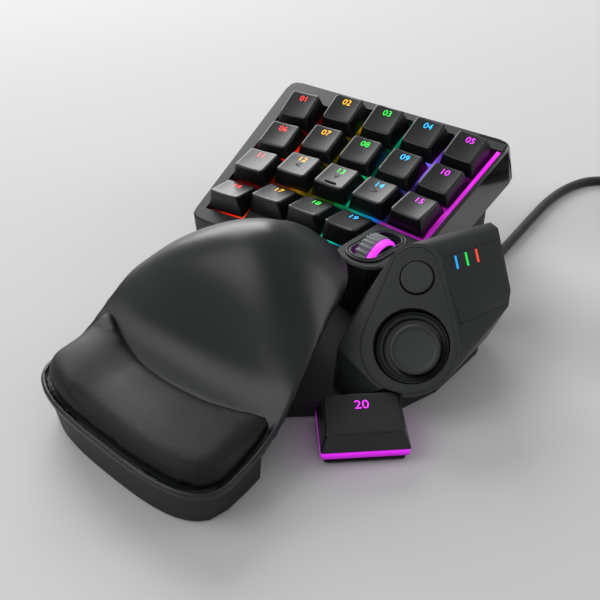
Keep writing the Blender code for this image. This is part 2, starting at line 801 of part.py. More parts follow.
def make_dome_mat():
    """Silicone sheet with a dome under each stem, drawn as pressed flat."""
    mat = plate("dome_mat", [well_outline(BOARD_LAP)], MAT_UNDERSIDE, MAT_TOP, DECK)
    edit = bmesh.new()
    middle = (MAT_UNDERSIDE + MAT_TOP) / 2
    for place in each_key():
        bmesh.ops.create_cone(
            edit,
            cap_ends=True,
            segments=PIN_STEPS,
            radius1=DOME_RADIUS,
            radius2=DOME_TOP_RADIUS,
            depth=DOME_TOP - middle,
            matrix=place @ Matrix.Translation((0.0, 0.0, (middle + DOME_TOP) / 2)),
        )
    boolean(mat, new_object("domes", mesh_from(edit, "domes"), DECK, True), "UNION")
    return finish(mat, SILICONE)


def make_circuit_board():
    board = plate("circuit_board", [well_outline(BOARD_LAP)], BOARD_UNDERSIDE, BOARD_TOP, DECK)
    return finish(board, BOARD_GREEN)


def leaning(outline, drop, lean, height):
    """An outline laid on a key's leaning top, at a drop below it."""
    turn = Matrix.Rotation(math.radians(lean), 4, "X")
    lift = Vector((0.0, 0.0, height))
    return [turn @ Vector((point.x, point.y, -drop)) + lift for point in outline]


def cap_rings(base, base_corner, floor, top, top_corner, height, lean):
    """Rings of a cap: its skirt's foot, the edge of its top, the rim and the dished middle."""
    edge = rounded(rectangle(*top), top_corner)
    rim = inset(edge, KEY_RIM)
    middle = [point / 2 for point in edge]
    return [
        rise(rounded(rectangle(*base), base_corner), floor),
        leaning(edge, KEY_DISH, lean, height),
        leaning(rim, 0.0, lean, height),
        leaning(middle, KEY_DISH, lean, height),
    ]


def cap_mesh(name, row):
    """Hollow cap with its stem, in the frame of the key's own centre."""
    height = -ROW_DROP[row]
    lean = ROW_LEAN_DEGREES[row]
    base = (KEY_BASE, KEY_BASE)
    top = (KEY_TOP_WIDTH, KEY_TOP_DEPTH)
    cap = loft(name, cap_rings(base, KEY_BASE_CORNER, KEY_FLOOR, top, KEY_CORNER, height, lean))
    mouth = rectangle(KEY_BASE - 2 * KEY_WALL, KEY_BASE - 2 * KEY_WALL)
    roof = rectangle(KEY_TOP_WIDTH - 2 * KEY_WALL, KEY_TOP_DEPTH - 2 * KEY_WALL)
    room = [rise(mouth, KEY_FLOOR - SEAT_GAP), leaning(roof, KEY_ROOF + KEY_DISH, lean, height)]
    hollow = loft(name + "_hollow", room, None, True)
    boolean(cap, hollow)
    square = rectangle(STEM_WIDTH, STEM_WIDTH)
    post = [rise(square, STEM_END), rise(square, KEY_FLOOR / 2), leaning(square, KEY_DISH + KEY_ROOF / 2, lean, height)]
    stem = loft(name + "_stem", post, None, True)
    boolean(cap, stem, "UNION")
    mesh = evaluated_mesh(cap)
    for item in (cap, hollow, stem):
        bpy.data.objects.remove(item, do_unlink=True)
    mesh.name = name
    return mesh


def make_keys():
    """Nineteen finger keys; each row has its own cap shape."""
    shapes = [cap_mesh("row_cap_%d" % (row + 1), row) for row in range(LAST_ROW + 1)]
    number = 0
    for row in range(LAST_ROW + 1):
        for column, rows in enumerate(ROWS_IN_COLUMN):
            if row >= rows:
                continue
            number += 1
            key = new_object("key_%02d" % number, shapes[row], DECK)
            place = column_matrix(column) @ Matrix.Translation((0.0, key_along(column, row), 0.0))
            key.location = place.to_translation()
            key.rotation_euler = place.to_euler()
    for shape in shapes:
        shape.materials.clear()
        shape.materials.append(KEY_BLACK)
        shape.shade_smooth()
        shape.set_sharp_from_angle(angle=SMOOTH_ANGLE)


def make_wheel():
    """Scroll wheel: ribbed tyre, lit hub, axle, and the sprung carrier that clicks."""
    mouth = rectangle(BEZEL_WIDTH - 2 * BEZEL_WALL, BEZEL_LENGTH - 2 * BEZEL_WALL)
    outlines = [stadium(BEZEL_LENGTH, BEZEL_WIDTH), rounded(mouth, BEZEL_CORNER)]
    finish(plate("wheel_bezel", outlines, -BEZEL_DEPTH, BEZEL_PROUD, NOSE), SATIN_GREY)

    half = wheel_half_width()
    tyre_high = -half + TYRE_WIDTH
    ring_low = half - LIGHT_RING_WIDTH
    bore = WHEEL_RADIUS - TYRE_THICKNESS
    ribs = []
    for step in range(RIB_COUNT * 2):
        radius = WHEEL_RADIUS if step % 2 else WHEEL_RADIUS - RIB_HEIGHT
        angle = math.pi * step / RIB_COUNT
        ribs.append(Vector((radius * math.cos(angle), radius * math.sin(angle))))
    tyre = plate("wheel_tyre", [ribs, circle(bore)], -half, tyre_high, WHEEL)
    core = bore - SEAT_GAP
    inner = AXLE_RADIUS + SEAT_GAP
    profile = [
        (inner, half),
        (LIGHT_RING_RADIUS, half),
        (LIGHT_RING_RADIUS, ring_low),
        (core, ring_low),
        (core, -half),
        (inner, -half),
    ]
    hub = turned("wheel_hub", profile, ROUND_STEPS, WHEEL, closed=True)
    reach = carrier_half_width() + AXLE_OVERHANG
    axle = cylinder("wheel_axle", AXLE_RADIUS, -reach, reach, WHEEL, steps=SMALL_ROUND_STEPS)
    for item in (tyre, hub, axle):
        item.rotation_euler = (0.0, math.pi / 2, 0.0)
    finish(tyre, RUBBER)
    finish(hub, LIT_PLASTIC)
    finish(axle, STEEL)

    width = 2 * carrier_half_width()
    low = carrier_underside()
    carrier = block("wheel_carrier", width, 2 * CARRIER_EAR, low, CARRIER_EAR, WHEEL)
    inside = width - 2 * CARRIER_WALL
    depth = 2 * CARRIER_EAR + OVERRUN
    boolean(carrier, block("carrier_gap", inside, depth, low + CARRIER_BASE, OVERRUN, WHEEL, True))
    pin_bore = cylinder("axle_bore", inner, -width, width, WHEEL, True, steps=SMALL_ROUND_STEPS)
    pin_bore.rotation_euler = (0.0, math.pi / 2, 0.0)
    boolean(carrier, pin_bore)
    finish(carrier, MATTE_BLACK)


def cut_at_deck(item, height):
    """Cuts a mesh by a plane of the deck's frame and keeps what lies below it."""
    edit = bmesh.new()
    edit.from_mesh(item.data)
    point = DECK_MATRIX @ Vector((0.0, 0.0, height))
    normal = DECK_MATRIX.to_3x3() @ Vector((0.0, 0.0, 1.0))
    geometry = edit.verts[:] + edit.edges[:] + edit.faces[:]
    bmesh.ops.bisect_plane(edit, geom=geometry, plane_co=point, plane_no=normal, clear_outer=True)
    open_edges = [edge for edge in edit.edges if edge.is_boundary]
    bmesh.ops.holes_fill(edit, edges=open_edges, sides=0)
    bmesh.ops.recalc_face_normals(edit, faces=edit.faces)
    edit.to_mesh(item.data)
    edit.free()


def body_outline():
    corners = [
        (-BASE_LEFT, BASE_NEAR),
        (BASE_RIGHT, BASE_NEAR),
        (BASE_RIGHT, BASE_FAR),
        (-BASE_LEFT, BASE_FAR),
    ]
    return rounded(corners, BASE_CORNER)


# The right side of the low plinth, as shares of its reach past the neck and of its depth
PLINTH_SIDE_SHARES = ((0.242, 0.082), (0.758, 0.278), (0.923, 0.459), (1.0, 0.779), (0.712, 1.0))


def plinth_outline():
    """The low part of the base: under the palm rest and the thumb module."""
    reach = MODULE_FOOT_RIGHT - NECK_RIGHT
    depth = MODULE_FOOT_FAR + NECK_NEAR
    side = [(NECK_RIGHT + x * reach, -NECK_NEAR + y * depth) for x, y in PLINTH_SIDE_SHARES]
    corners = [(-NECK_LEFT, -NECK_NEAR), (NECK_RIGHT, -NECK_NEAR)] + side
    corners += [
        (BASE_RIGHT - BASE_SETBACK, MODULE_FOOT_FAR),
        (BASE_RIGHT - BASE_SETBACK, BASE_NEAR + BASE_CORNER),
        (-NECK_LEFT, BASE_NEAR + BASE_CORNER),
    ]
    return rounded(corners, BASE_CORNER)


# Board posts, as shares of the tray's half width on that side and of its far edge's distance
POST_SHARES = ((-0.80, 0.30), (0.45, 0.55), (-0.80, 0.88), (0.70, 0.88), (-0.15, 0.62))


def slot_far():
    return -PALM_NEAR + TONGUE_REACH + SEAT_GAP


def foot_places():
    return {
        "foot_far_left": (-BASE_LEFT + 2 * FOOT_RADIUS, BASE_FAR - 2 * FOOT_RADIUS),
        "foot_far_right": (BASE_RIGHT - 2 * FOOT_RADIUS, BASE_FAR - 2 * FOOT_RADIUS),
        "foot_near_left": (-BASE_LEFT + 2 * FOOT_RADIUS, BASE_NEAR + 2 * FOOT_RADIUS),
        "foot_thumb": (FACE_X, -FOOT_RADIUS / 2),
    }


def make_base_shell():
    """Lower housing: a tilted tray under the keys, on a plinth that runs out under palm and thumb."""
    floor_height = FOOT_GAP + BASE_FLOOR
    base = plate("base_shell", [plinth_outline()], FOOT_GAP, PLINTH_HEIGHT)
    tab_width = THUMB_KEY_WIDTH - 2 * TAB_INSET
    tab_depth = THUMB_KEY_DEPTH - TAB_INSET + OVERRUN
    tab_outline = rounded(rectangle(tab_width, tab_depth, 0.0, (OVERRUN + TAB_INSET) / 2), KEY_CORNER)
    tab = plate("thumb_key_tab", [tab_outline], FOOT_GAP, FOOT_GAP + TAB_THICKNESS, THUMB_KEY, True)
    seat_outline = inset(deck_outline(), -DECK_FLARE - SEAT_GAP)
    seat_low = DECK_UNDERSIDE - SEAT_GAP
    boolean(base, plate("deck_seat", [seat_outline], seat_low, OVERRUN, DECK, True))

    tray = plate("tray_body", [body_outline()], FOOT_GAP, PALM_HEIGHT, None, True)
    cut_at_deck(tray, seat_low)
    boolean(base, tray, "UNION")
    lip = inset(deck_outline(), DECK_WALL + SEAT_GAP)
    boolean(base, plate("tray_lip", [lip], seat_low - FLANGE_THICKNESS, BASE_TOP, DECK, True), "UNION")
    hollow = inset(body_outline(), BASE_WALL)
    boolean(base, plate("tray_hollow", [hollow], floor_height, PALM_HEIGHT, None, True))

    room_low = carrier_underside() - WHEEL_CLICK - SEAT_GAP
    boss_width = 2 * (carrier_half_width() - BOSS_MARGIN)
    boss_depth = 2 * (CARRIER_EAR - BOSS_MARGIN)
    boss = block("carrier_boss", boss_width, boss_depth, room_low - BOSS_REACH, room_low, WHEEL, True)
    boolean(base, boss, "UNION")

    posts = bmesh.new()
    for x, y in POST_SHARES:
        side = BASE_LEFT if x < 0 else BASE_RIGHT
        post_low = floor_height - BASE_FLOOR / 2
        bmesh.ops.create_cone(
            posts,
            cap_ends=True,
            segments=PIN_STEPS,
            radius1=POST_RADIUS,
            radius2=POST_RADIUS,
            depth=PALM_HEIGHT - post_low,
            matrix=Matrix.Translation((x * side, y * BASE_FAR, (post_low + PALM_HEIGHT) / 2)),
        )
    post_item = new_object("board_posts", mesh_from(posts, "board_posts"), None, True)
    cut_at_deck(post_item, BASE_TOP)
    boolean(base, post_item, "UNION")

    slot_low = floor_height
    slot_high = slot_low + TONGUE_THICKNESS + 2 * SEAT_GAP
    slot_near = -NECK_NEAR - OVERRUN
    slot_width = TONGUE_WIDTH + 2 * SEAT_GAP
    slot_length = slot_far() - slot_near
    slot_middle = (slot_near + slot_far()) / 2
    slot = block("tongue_slot", slot_width, slot_length, slot_low, slot_high, None, True, PALM_X, slot_middle)
    boolean(base, slot)
    recess_top = FOOT_GAP + FOOT_RECESS
    radius = FOOT_RADIUS + SEAT_GAP
    for name, (x, y) in foot_places().items():
        recess = cylinder(name + "_recess", radius, -OVERRUN, recess_top, None, True, x, y, SMALL_ROUND_STEPS)
        boolean(base, recess)
    boolean(base, tab, "UNION")
    return finish(base, MATTE_BLACK)


def make_feet():
    """Rubber feet, each in a shallow recess of the base."""
    top = FOOT_GAP + FOOT_RECESS - SEAT_GAP
    for name, (x, y) in foot_places().items():
        finish(cylinder(name, FOOT_RADIUS, 0.0, top, x=x, y=y, steps=SMALL_ROUND_STEPS), RUBBER)


# Palm rest stations: place along, half width, edge height and crown height,
# as shares of the palm rest's length, half width and height
PALM_STATION_SHARES = (
    (0.000, 0.36, 0.233, 0.235),
    (0.022, 0.72, 0.233, 0.240),
    (0.074, 0.92, 0.236, 0.252),
    (0.143, 0.985, 0.245, 0.265),
    (0.229, 1.000, 0.268, 0.285),
    (0.307, 1.000, 0.315, 0.318),
    (0.359, 0.995, 0.365, 0.365),
    (0.403, 0.985, 0.415, 0.440),
    (0.455, 0.965, 0.475, 0.600),
    (0.515, 0.940, 0.540, 0.780),
    (0.584, 0.905, 0.595, 0.915),
    (0.662, 0.860, 0.635, 0.990),
    (0.749, 0.815, 0.660, 0.975),
    (0.818, 0.750, 0.672, 0.900),
    (0.879, 0.625, 0.665, 0.820),
    (0.922, 0.470, 0.655, 0.735),
    (0.961, 0.300, 0.635, 0.665),
    (0.990, 0.140, 0.615, 0.620),
    (1.000, 0.060, 0.610, 0.610),
)
PALM_ACROSS = 12
HEEL_STATIONS = 6


def palm_point(along_share, across_share, half_share, edge_share, crown_share):
    x = across_share * half_share * PALM_HALF_WIDTH
    y = along_share * PALM_LENGTH - PALM_SKEW_SHARE * x * (1.0 - along_share)
    dome = 1.0 - abs(across_share) ** PALM_DOME_SHARE
    z = (edge_share + (crown_share - edge_share) * dome) * PALM_HEIGHT
    return Vector((x, y, z))


def station_at(along_share):
    """Interpolates the palm stations at a share of the length."""
    for first, second in zip(PALM_STATION_SHARES, PALM_STATION_SHARES[1:]):
        if along_share <= second[0]:
            mix = (along_share - first[0]) / (second[0] - first[0])
            return tuple(a + (b - a) * mix for a, b in zip(first, second))
    return PALM_STATION_SHARES[-1]


def across_shares(count):
    return [-1.0 + 2.0 * step / count for step in range(count + 1)]


def palm_grid():
    """The palm rest's upper skin as an open loft from station to station."""
    edit = bmesh.new()
    shares = across_shares(PALM_ACROSS)
    rows = [
        [edit.verts.new(palm_point(station[0], share, *station[1:])) for share in shares]
        for station in PALM_STATION_SHARES
    ]
    for near, far in zip(rows, rows[1:]):
        for index in range(PALM_ACROSS):
            edit.faces.new((near[index], near[index + 1], far[index + 1], far[index]))
    return edit


def make_palm_shell():
    """Arched hand rest: one moulded skin from the wrist up over the hump."""
    edit = palm_grid()
    mesh = bpy.data.meshes.new("palm_shell")
    edit.to_mesh(mesh)
    edit.free()
    shell = new_object("palm_shell", mesh, PALM)
    wall = shell.modifiers.new("wall", "SOLIDIFY")
    wall.thickness = PALM_SHELL
    wall.offset = -1.0
    return finish(shell, SATIN_GREY)


def palm_ceiling():
    """All the space from just under the shell upwards, which the heel stays out of."""
    edit = palm_grid()
    bmesh.ops.triangulate(edit, faces=edit.faces[:])
    edit.normal_update()
    flattest = [min(abs(face.normal.z) for face in vert.link_faces) for vert in edit.verts]
    for vert, share in zip(edit.verts, flattest):
        vert.co.z -= (PALM_SHELL + SEAT_GAP) / share
    raised = bmesh.ops.extrude_face_region(edit, geom=edit.faces[:])
    moved = [item for item in raised["geom"] if isinstance(item, bmesh.types.BMVert)]
    bmesh.ops.translate(edit, verts=moved, vec=(0.0, 0.0, PALM_HEIGHT))
    return new_object("palm_ceiling", mesh_from(edit, "palm_ceiling"), PALM, True)


# The cushion: rows along it, as shares of its length and of its rise
PAD_ROW_SHARES = ((0.0, 0.12), (0.07, 0.75), (0.25, 1.0), (0.50, 1.0), (0.74, 0.96), (0.93, 0.62), (1.0, 0.12))
PAD_EDGE_SHARE = 0.25
PAD_CROWN_SHARE = 3.0
PAD_ACROSS = 4
PAD_LEVELS = 2


def make_wrist_pad():
    """Soft pad: a coarse cage, crowned and drawn in at its sides, rounded by subdivision."""
    start_share = PAD_START / PALM_LENGTH
    length_share = (PAD_END - PAD_START) / PALM_LENGTH
    rings = []
    for along, rise_share in PAD_ROW_SHARES:
        station = station_at(start_share + length_share * along)
        narrow = 1.0 - PAD_INSET / (PALM_HALF_WIDTH * station[1])
        seat = []
        crown = []
        for share in across_shares(PAD_ACROSS):
            point = palm_point(station[0], share * narrow, *station[1:])
            seat.append(point + Vector((0.0, 0.0, PAD_SEAM_GAP)))
            height = PAD_RISE * rise_share * (1.0 - (1.0 - PAD_EDGE_SHARE) * abs(share) ** PAD_CROWN_SHARE)
            crown.append(point + Vector((0.0, 0.0, PAD_SEAM_GAP + height)))
        rings.append(seat + crown[::-1])
    pad = loft("wrist_pad", rings, PALM)
    smooth = pad.modifiers.new("soft", "SUBSURF")
    smooth.levels = PAD_LEVELS
    smooth.render_levels = PAD_LEVELS
    return finish(pad, LEATHERETTE)


def heel_outline(extra):
    """The outline of the heel under the wrist end, set in from the shell's edge."""
    stations = PALM_STATION_SHARES[:HEEL_STATIONS]
    left = [palm_point(station[0], -1.0, *station[1:]) for station in reversed(stations)]
    right = [palm_point(station[0], 1.0, *station[1:]) for station in stations]
    return inset([Vector((point.x, point.y)) for point in left + right], HEEL_INSET + extra)


def make_palm_heel():
    """Heel that stands on the desk, with the rib under the hump and the tongue that slides in the base."""
    heel = loft("palm_heel", [rise(heel_outline(HEEL_TAPER), FOOT_GAP), rise(heel_outline(0.0), HEEL_TOP)], PALM)
    heel_far = PALM_STATION_SHARES[HEEL_STATIONS - 1][0] * PALM_LENGTH
    rib_near = heel_far - 2 * HEEL_LIP
    rib_low = PLINTH_HEIGHT + 2 * SEAT_GAP
    outline = rectangle(RISER_WIDTH, RISER_LENGTH, 0.0, rib_near + RISER_LENGTH / 2)
    slope = RISER_HEIGHT / (2 * RISER_LENGTH)

    def sloping_foot(point):
        return rib_low + (point.y - rib_near) * slope

    rib = loft("hump_rib", [rise(outline, sloping_foot), rise(outline, RISER_HEIGHT)], PALM, True)
    boolean(heel, rib, "UNION")
    boolean(heel, palm_ceiling())
    tongue_low = FOOT_GAP + BASE_FLOOR + SEAT_GAP
    near = heel_far / 2
    tongue_high = tongue_low + TONGUE_THICKNESS
    middle = (TONGUE_REACH + near) / 2
    tongue = block("tongue", TONGUE_WIDTH, TONGUE_REACH - near, tongue_low, tongue_high, PALM, True, 0.0, middle)
    boolean(heel, tongue, "UNION")
    return finish(heel, MATTE_BLACK)


def make_palm_foot():
    """Rubber foot under the heel."""
    outline = heel_outline(HEEL_TAPER + PALM_FOOT_MARGIN)
    return finish(plate("palm_foot", [outline], 0.0, FOOT_GAP - SEAT_GAP, PALM), RUBBER)


def face_outline(grow):
    """Drop-shaped outline of the thumb face: two arcs joined by straight sides."""
    low_radius = FACE_LOWER_RADIUS + grow
    high_radius = FACE_UPPER_RADIUS + grow
    lean = math.asin((low_radius - high_radius) / FACE_SPAN)
    points = []
    steps = ROUND_STEPS // 2
    for step in range(steps + 1):
        angle = lean + (math.pi - 2 * lean) * step / steps
        x = -FACE_SHIFT + high_radius * math.cos(angle)
        points.append(Vector((x, FACE_SPAN + high_radius * math.sin(angle))))
    for step in range(steps + 1):
        angle = math.pi - lean + (math.pi + 2 * lean) * step / steps
        points.append(Vector((-FACE_SHIFT + low_radius * math.cos(angle), low_radius * math.sin(angle))))
    return points


# Corners of the side panel, as shares of its length and its drop
PANEL_SHARES = (
    (0.02, -0.015),
    (-0.100, -0.40),
    (-0.145, -0.76),
    (-0.185, -0.96),
    (0.60, -0.92),
    (0.74, -0.75),
    (0.98, -0.015),
)


def panel_outline(grow):
    """Outline of the side panel, from the seam under the ridge down to the bend."""
    corners = [Vector((x * PANEL_LENGTH, y * PANEL_DROP)) for x, y in PANEL_SHARES]
    return inset(corners, -grow)


# Corners of the housing's lower parts, as shares of the module's width, depth and height
HOUSING_SHARES = (
    (0.955, 0.765, 0.36),
    (0.945, 0.63, 0.24),
    (0.930, 0.48, 0.24),
    (0.880, 0.25, 0.32),
    (0.00, 0.27, 0.54),
    (0.00, 0.10, 0.32),
    (0.05, 0.02, 0.0),
    (0.20, 0.00, 0.0),
    (0.55, 0.13, 0.0),
    (0.73, 0.35, 0.0),
    (0.80, 0.58, 0.0),
    (0.72, 0.93, 0.0),
    (0.44, 1.00, 0.0),
    (0.25, 0.85, 0.0),
    (0.11, 0.55, 0.0),
    (0.03, 0.30, 0.0),
)

# Corners of the ridge and the panel's lower edge: shares of the panel's length and drop,
# then of the ridge's width and fall
RIDGE_SHARES = (
    (0.0, 0.0, 0.0, 0.0),
    (1.0, 0.0, 0.0, 0.0),
    (1.05, 0.0, 0.5, 0.0),
    (1.07, 0.0, 1.0, 1.0),
    (-0.09, 0.0, 1.0, 1.0),
    (-0.09, 0.0, 0.6, 0.3),
    (0.78, -0.76, 0.0, 0.0),
    (0.63, -0.96, 0.0, 0.0),
    (-0.16, -1.0, 0.0, 0.0),
)


def make_thumb_key_room():
    """The space around the wide thumb key that the thumb module stays out of."""
    room = 2 * THUMB_KEY_ROOM
    base = (THUMB_KEY_WIDTH + room, THUMB_KEY_DEPTH + room)
    top = (THUMB_KEY_TOP_WIDTH + room, THUMB_KEY_TOP_DEPTH + room)
    rings = [rise(rectangle(*base), 0.0), rise(rectangle(*base), THUMB_KEY_SKIRT)]
    rings.append(leaning(rectangle(*top), -THUMB_KEY_ROOM, THUMB_KEY_LEAN_DEGREES, THUMB_KEY_HEIGHT))
    return loft("thumb_key_room", rings, THUMB_KEY, True)


def make_thumb_housing(key_room):
    """Body of the thumb module: a skin drawn tight over its face, ridge, panel and footprint."""
    edit = bmesh.new()
    floor_height = PLINTH_HEIGHT + SEAT_GAP
    for point in face_outline(SEAT_GAP + FACE_RIM):
        edit.verts.new(FACE_MATRIX @ Vector((point.x, point.y, 0.0)))
    for length, drop, width, fall in RIDGE_SHARES:
        y = drop * PANEL_DROP + width * RIDGE_WIDTH
        edit.verts.new(PANEL_MATRIX @ Vector((length * PANEL_LENGTH, y, -fall * RIDGE_FALL)))
    for x, y, z in HOUSING_SHARES:
        height = floor_height + z * (MODULE_HEIGHT - floor_height)
        edit.verts.new((MODULE_LEFT + x * MODULE_WIDTH, -MODULE_NEAR + y * MODULE_DEPTH, height))
    bmesh.ops.convex_hull(edit, input=edit.verts)
    loose = [vert for vert in edit.verts if not vert.link_faces]
    bmesh.ops.delete(edit, geom=loose, context="VERTS")
    housing = new_object("thumb_housing", mesh_from(edit, "thumb_housing"))

    depth = -FACE_THICKNESS - SEAT_GAP
    boolean(housing, plate("face_pocket", [face_outline(SEAT_GAP)], depth, OVERRUN, FACE, True))
    panel_depth = -PANEL_THICKNESS - SEAT_GAP
    boolean(housing, plate("panel_pocket", [panel_outline(SEAT_GAP)], panel_depth, OVERRUN, PANEL, True))
    boolean(housing, cylinder("well_bore", WELL_RADIUS, -WELL_DEPTH, OVERRUN, FACE, True))
    socket_low = STICK_DEPTH - SOCKET_DEPTH
    socket = cylinder("stick_socket", SOCKET_RADIUS, socket_low, OVERRUN, STICK, True, steps=SMALL_ROUND_STEPS)
    boolean(housing, socket)
    pocket = BUTTON_RADIUS + BUTTON_FLANGE + BUTTON_GAP
    pocket_low = -BUTTON_LENGTH - BUTTON_TRAVEL - 2 * SEAT_GAP
    boolean(housing, cylinder("button_pocket", pocket, pocket_low, OVERRUN, FACE, True, y=BUTTON_SPAN))
    width = LIGHT_BAR_PITCH * LIGHT_BAR_COUNT + 2 * SEAT_GAP
    length = LIGHT_BAR_LENGTH + 2 * SEAT_GAP
    light_low = panel_depth - LIGHT_BACK - 2 * SEAT_GAP
    middle = LIGHT_BAR_START + LIGHT_BAR_PITCH
    light_pocket = block("light_pocket", width, length, light_low, OVERRUN, PANEL, True, middle, -LIGHT_BAR_DROP)
    boolean(housing, light_pocket)
    boolean(housing, key_room)
    return finish(housing, SATIN_GREY)


def make_thumb_face(key_room):
    """Control face with the holes for the round button and the stick."""
    outlines = [
        face_outline(0.0),
        circle(WELL_RADIUS),
        circle(BUTTON_RADIUS + BUTTON_GAP, y=BUTTON_SPAN),
    ]
    face = plate("thumb_face", outlines, -FACE_THICKNESS, 0.0, FACE)
    boolean(face, key_room)
    return finish(face, SATIN_GREY)


def light_bar_outline(index, grow):
    middle = Vector((LIGHT_BAR_START + LIGHT_BAR_PITCH * index, -LIGHT_BAR_DROP))
    outline = rectangle(LIGHT_BAR_WIDTH + 2 * grow, LIGHT_BAR_LENGTH + 2 * grow)
    turn = Matrix.Rotation(math.radians(LIGHT_BAR_LEAN_DEGREES), 2)
    return [middle + turn @ point for point in outline]


def make_side_panel():
    """Side panel with three slots, and the clear piece whose fingers fill them."""
    slots = [light_bar_outline(index, LIGHT_BAR_PLAY) for index in range(LIGHT_BAR_COUNT)]
    panel = plate("side_panel", [panel_outline(0.0)] + slots, -PANEL_THICKNESS, 0.0, PANEL)
    finish(panel, SATIN_GREY)
    width = LIGHT_BAR_PITCH * LIGHT_BAR_COUNT
    top = -PANEL_THICKNESS - SEAT_GAP
    middle = LIGHT_BAR_START + LIGHT_BAR_PITCH
    low = top - LIGHT_BACK
    pipe = block("status_light_pipe", width, LIGHT_BAR_LENGTH, low, top, PANEL, False, middle, -LIGHT_BAR_DROP)
    for index in range(LIGHT_BAR_COUNT):
        bar = [light_bar_outline(index, -LIGHT_BAR_PLAY)]
        finger = plate("light_finger_%d" % (index + 1), bar, top - LIGHT_BACK / 2, 0.0, PANEL, True)
        boolean(pipe, finger, "UNION")
    finish(pipe, LIT_PLASTIC)


def make_thumb_button():
    flange = BUTTON_RADIUS + BUTTON_FLANGE
    flange_top = -FACE_THICKNESS - SEAT_GAP
    flange_low = flange_top - BUTTON_FLANGE_THICKNESS
    profile = [
        (0.0, BUTTON_RISE),
        (BUTTON_RADIUS - BUTTON_GAP, BUTTON_RISE),
        (BUTTON_RADIUS, BUTTON_RISE - BUTTON_GAP),
        (BUTTON_RADIUS, flange_top),
        (flange, flange_top),
        (flange, flange_low),
        (BUTTON_POST, flange_low),
        (BUTTON_POST, -BUTTON_LENGTH),
        (0.0, -BUTTON_LENGTH),
    ]
    button = turned("thumb_button", profile, SMALL_ROUND_STEPS, FACE)
    button.location = (0.0, BUTTON_SPAN, 0.0)
    return finish(button, SATIN_GREY)


# The ball of the stick, as shares of its radius
BALL_SHARES = ((0.87, 0.50), (1.0, 0.0), (0.87, -0.50), (0.50, -0.87), (0.0, -1.0))


def make_thumb_stick():
    """Eight-way stick on a gimbal ring, over a lobed gate."""
    top = STICK_DEPTH + STICK_RISE
    low = top - STICK_THICKNESS
    neck = math.sqrt(STICK_BALL * STICK_BALL - STICK_STEM * STICK_STEM)
    profile = [
        (0.0, top - STICK_DISH),
        (STICK_RADIUS / 2, top - STICK_DISH),
        (STICK_RADIUS - STICK_DISH, top),
        (STICK_RADIUS, top - STICK_DISH),
        (STICK_RADIUS - STICK_DISH, low),
        (STICK_STEM, low),
        (STICK_STEM, neck),
    ]
    profile += [(x * STICK_BALL, z * STICK_BALL) for x, z in BALL_SHARES]
    finish(turned("thumb_stick", profile, SMALL_ROUND_STEPS, STICK), SATIN_GREY)

    half = GIMBAL_THICKNESS / 2
    ring = cylinder("stick_gimbal", GIMBAL_RADIUS, -half, half, STICK, steps=SMALL_ROUND_STEPS)
    reach = SOCKET_RADIUS - SEAT_GAP
    pins = cylinder("gimbal_pins", GIMBAL_PIN, -reach, reach, STICK, True, steps=PIN_STEPS)
    pins.rotation_euler = (0.0, math.pi / 2, 0.0)
    boolean(ring, pins, "UNION")
    boolean(ring, cylinder("gimbal_bore", GIMBAL_BORE, -OVERRUN, OVERRUN, STICK, True, steps=SMALL_ROUND_STEPS))
    finish(ring, MATTE_BLACK)

    lobes = []
    steps = GATE_LOBES * 2 * ARC_STEPS
    for step in range(steps):
        angle = 2 * math.pi * step / steps
        wave = math.cos(GATE_LOBES * angle) * GATE_LOBE_DEPTH / 2
        radius = WELL_RADIUS - GATE_WALL + wave
        lobes.append(Vector((radius * math.cos(angle), radius * math.sin(angle))))
    rim = circle(WELL_RADIUS - SEAT_GAP)
    gate_low = -WELL_DEPTH + SEAT_GAP
    finish(plate("stick_gate", [rim, lobes], gate_low, gate_low + GATE_THICKNESS, FACE), MATTE_BLACK)


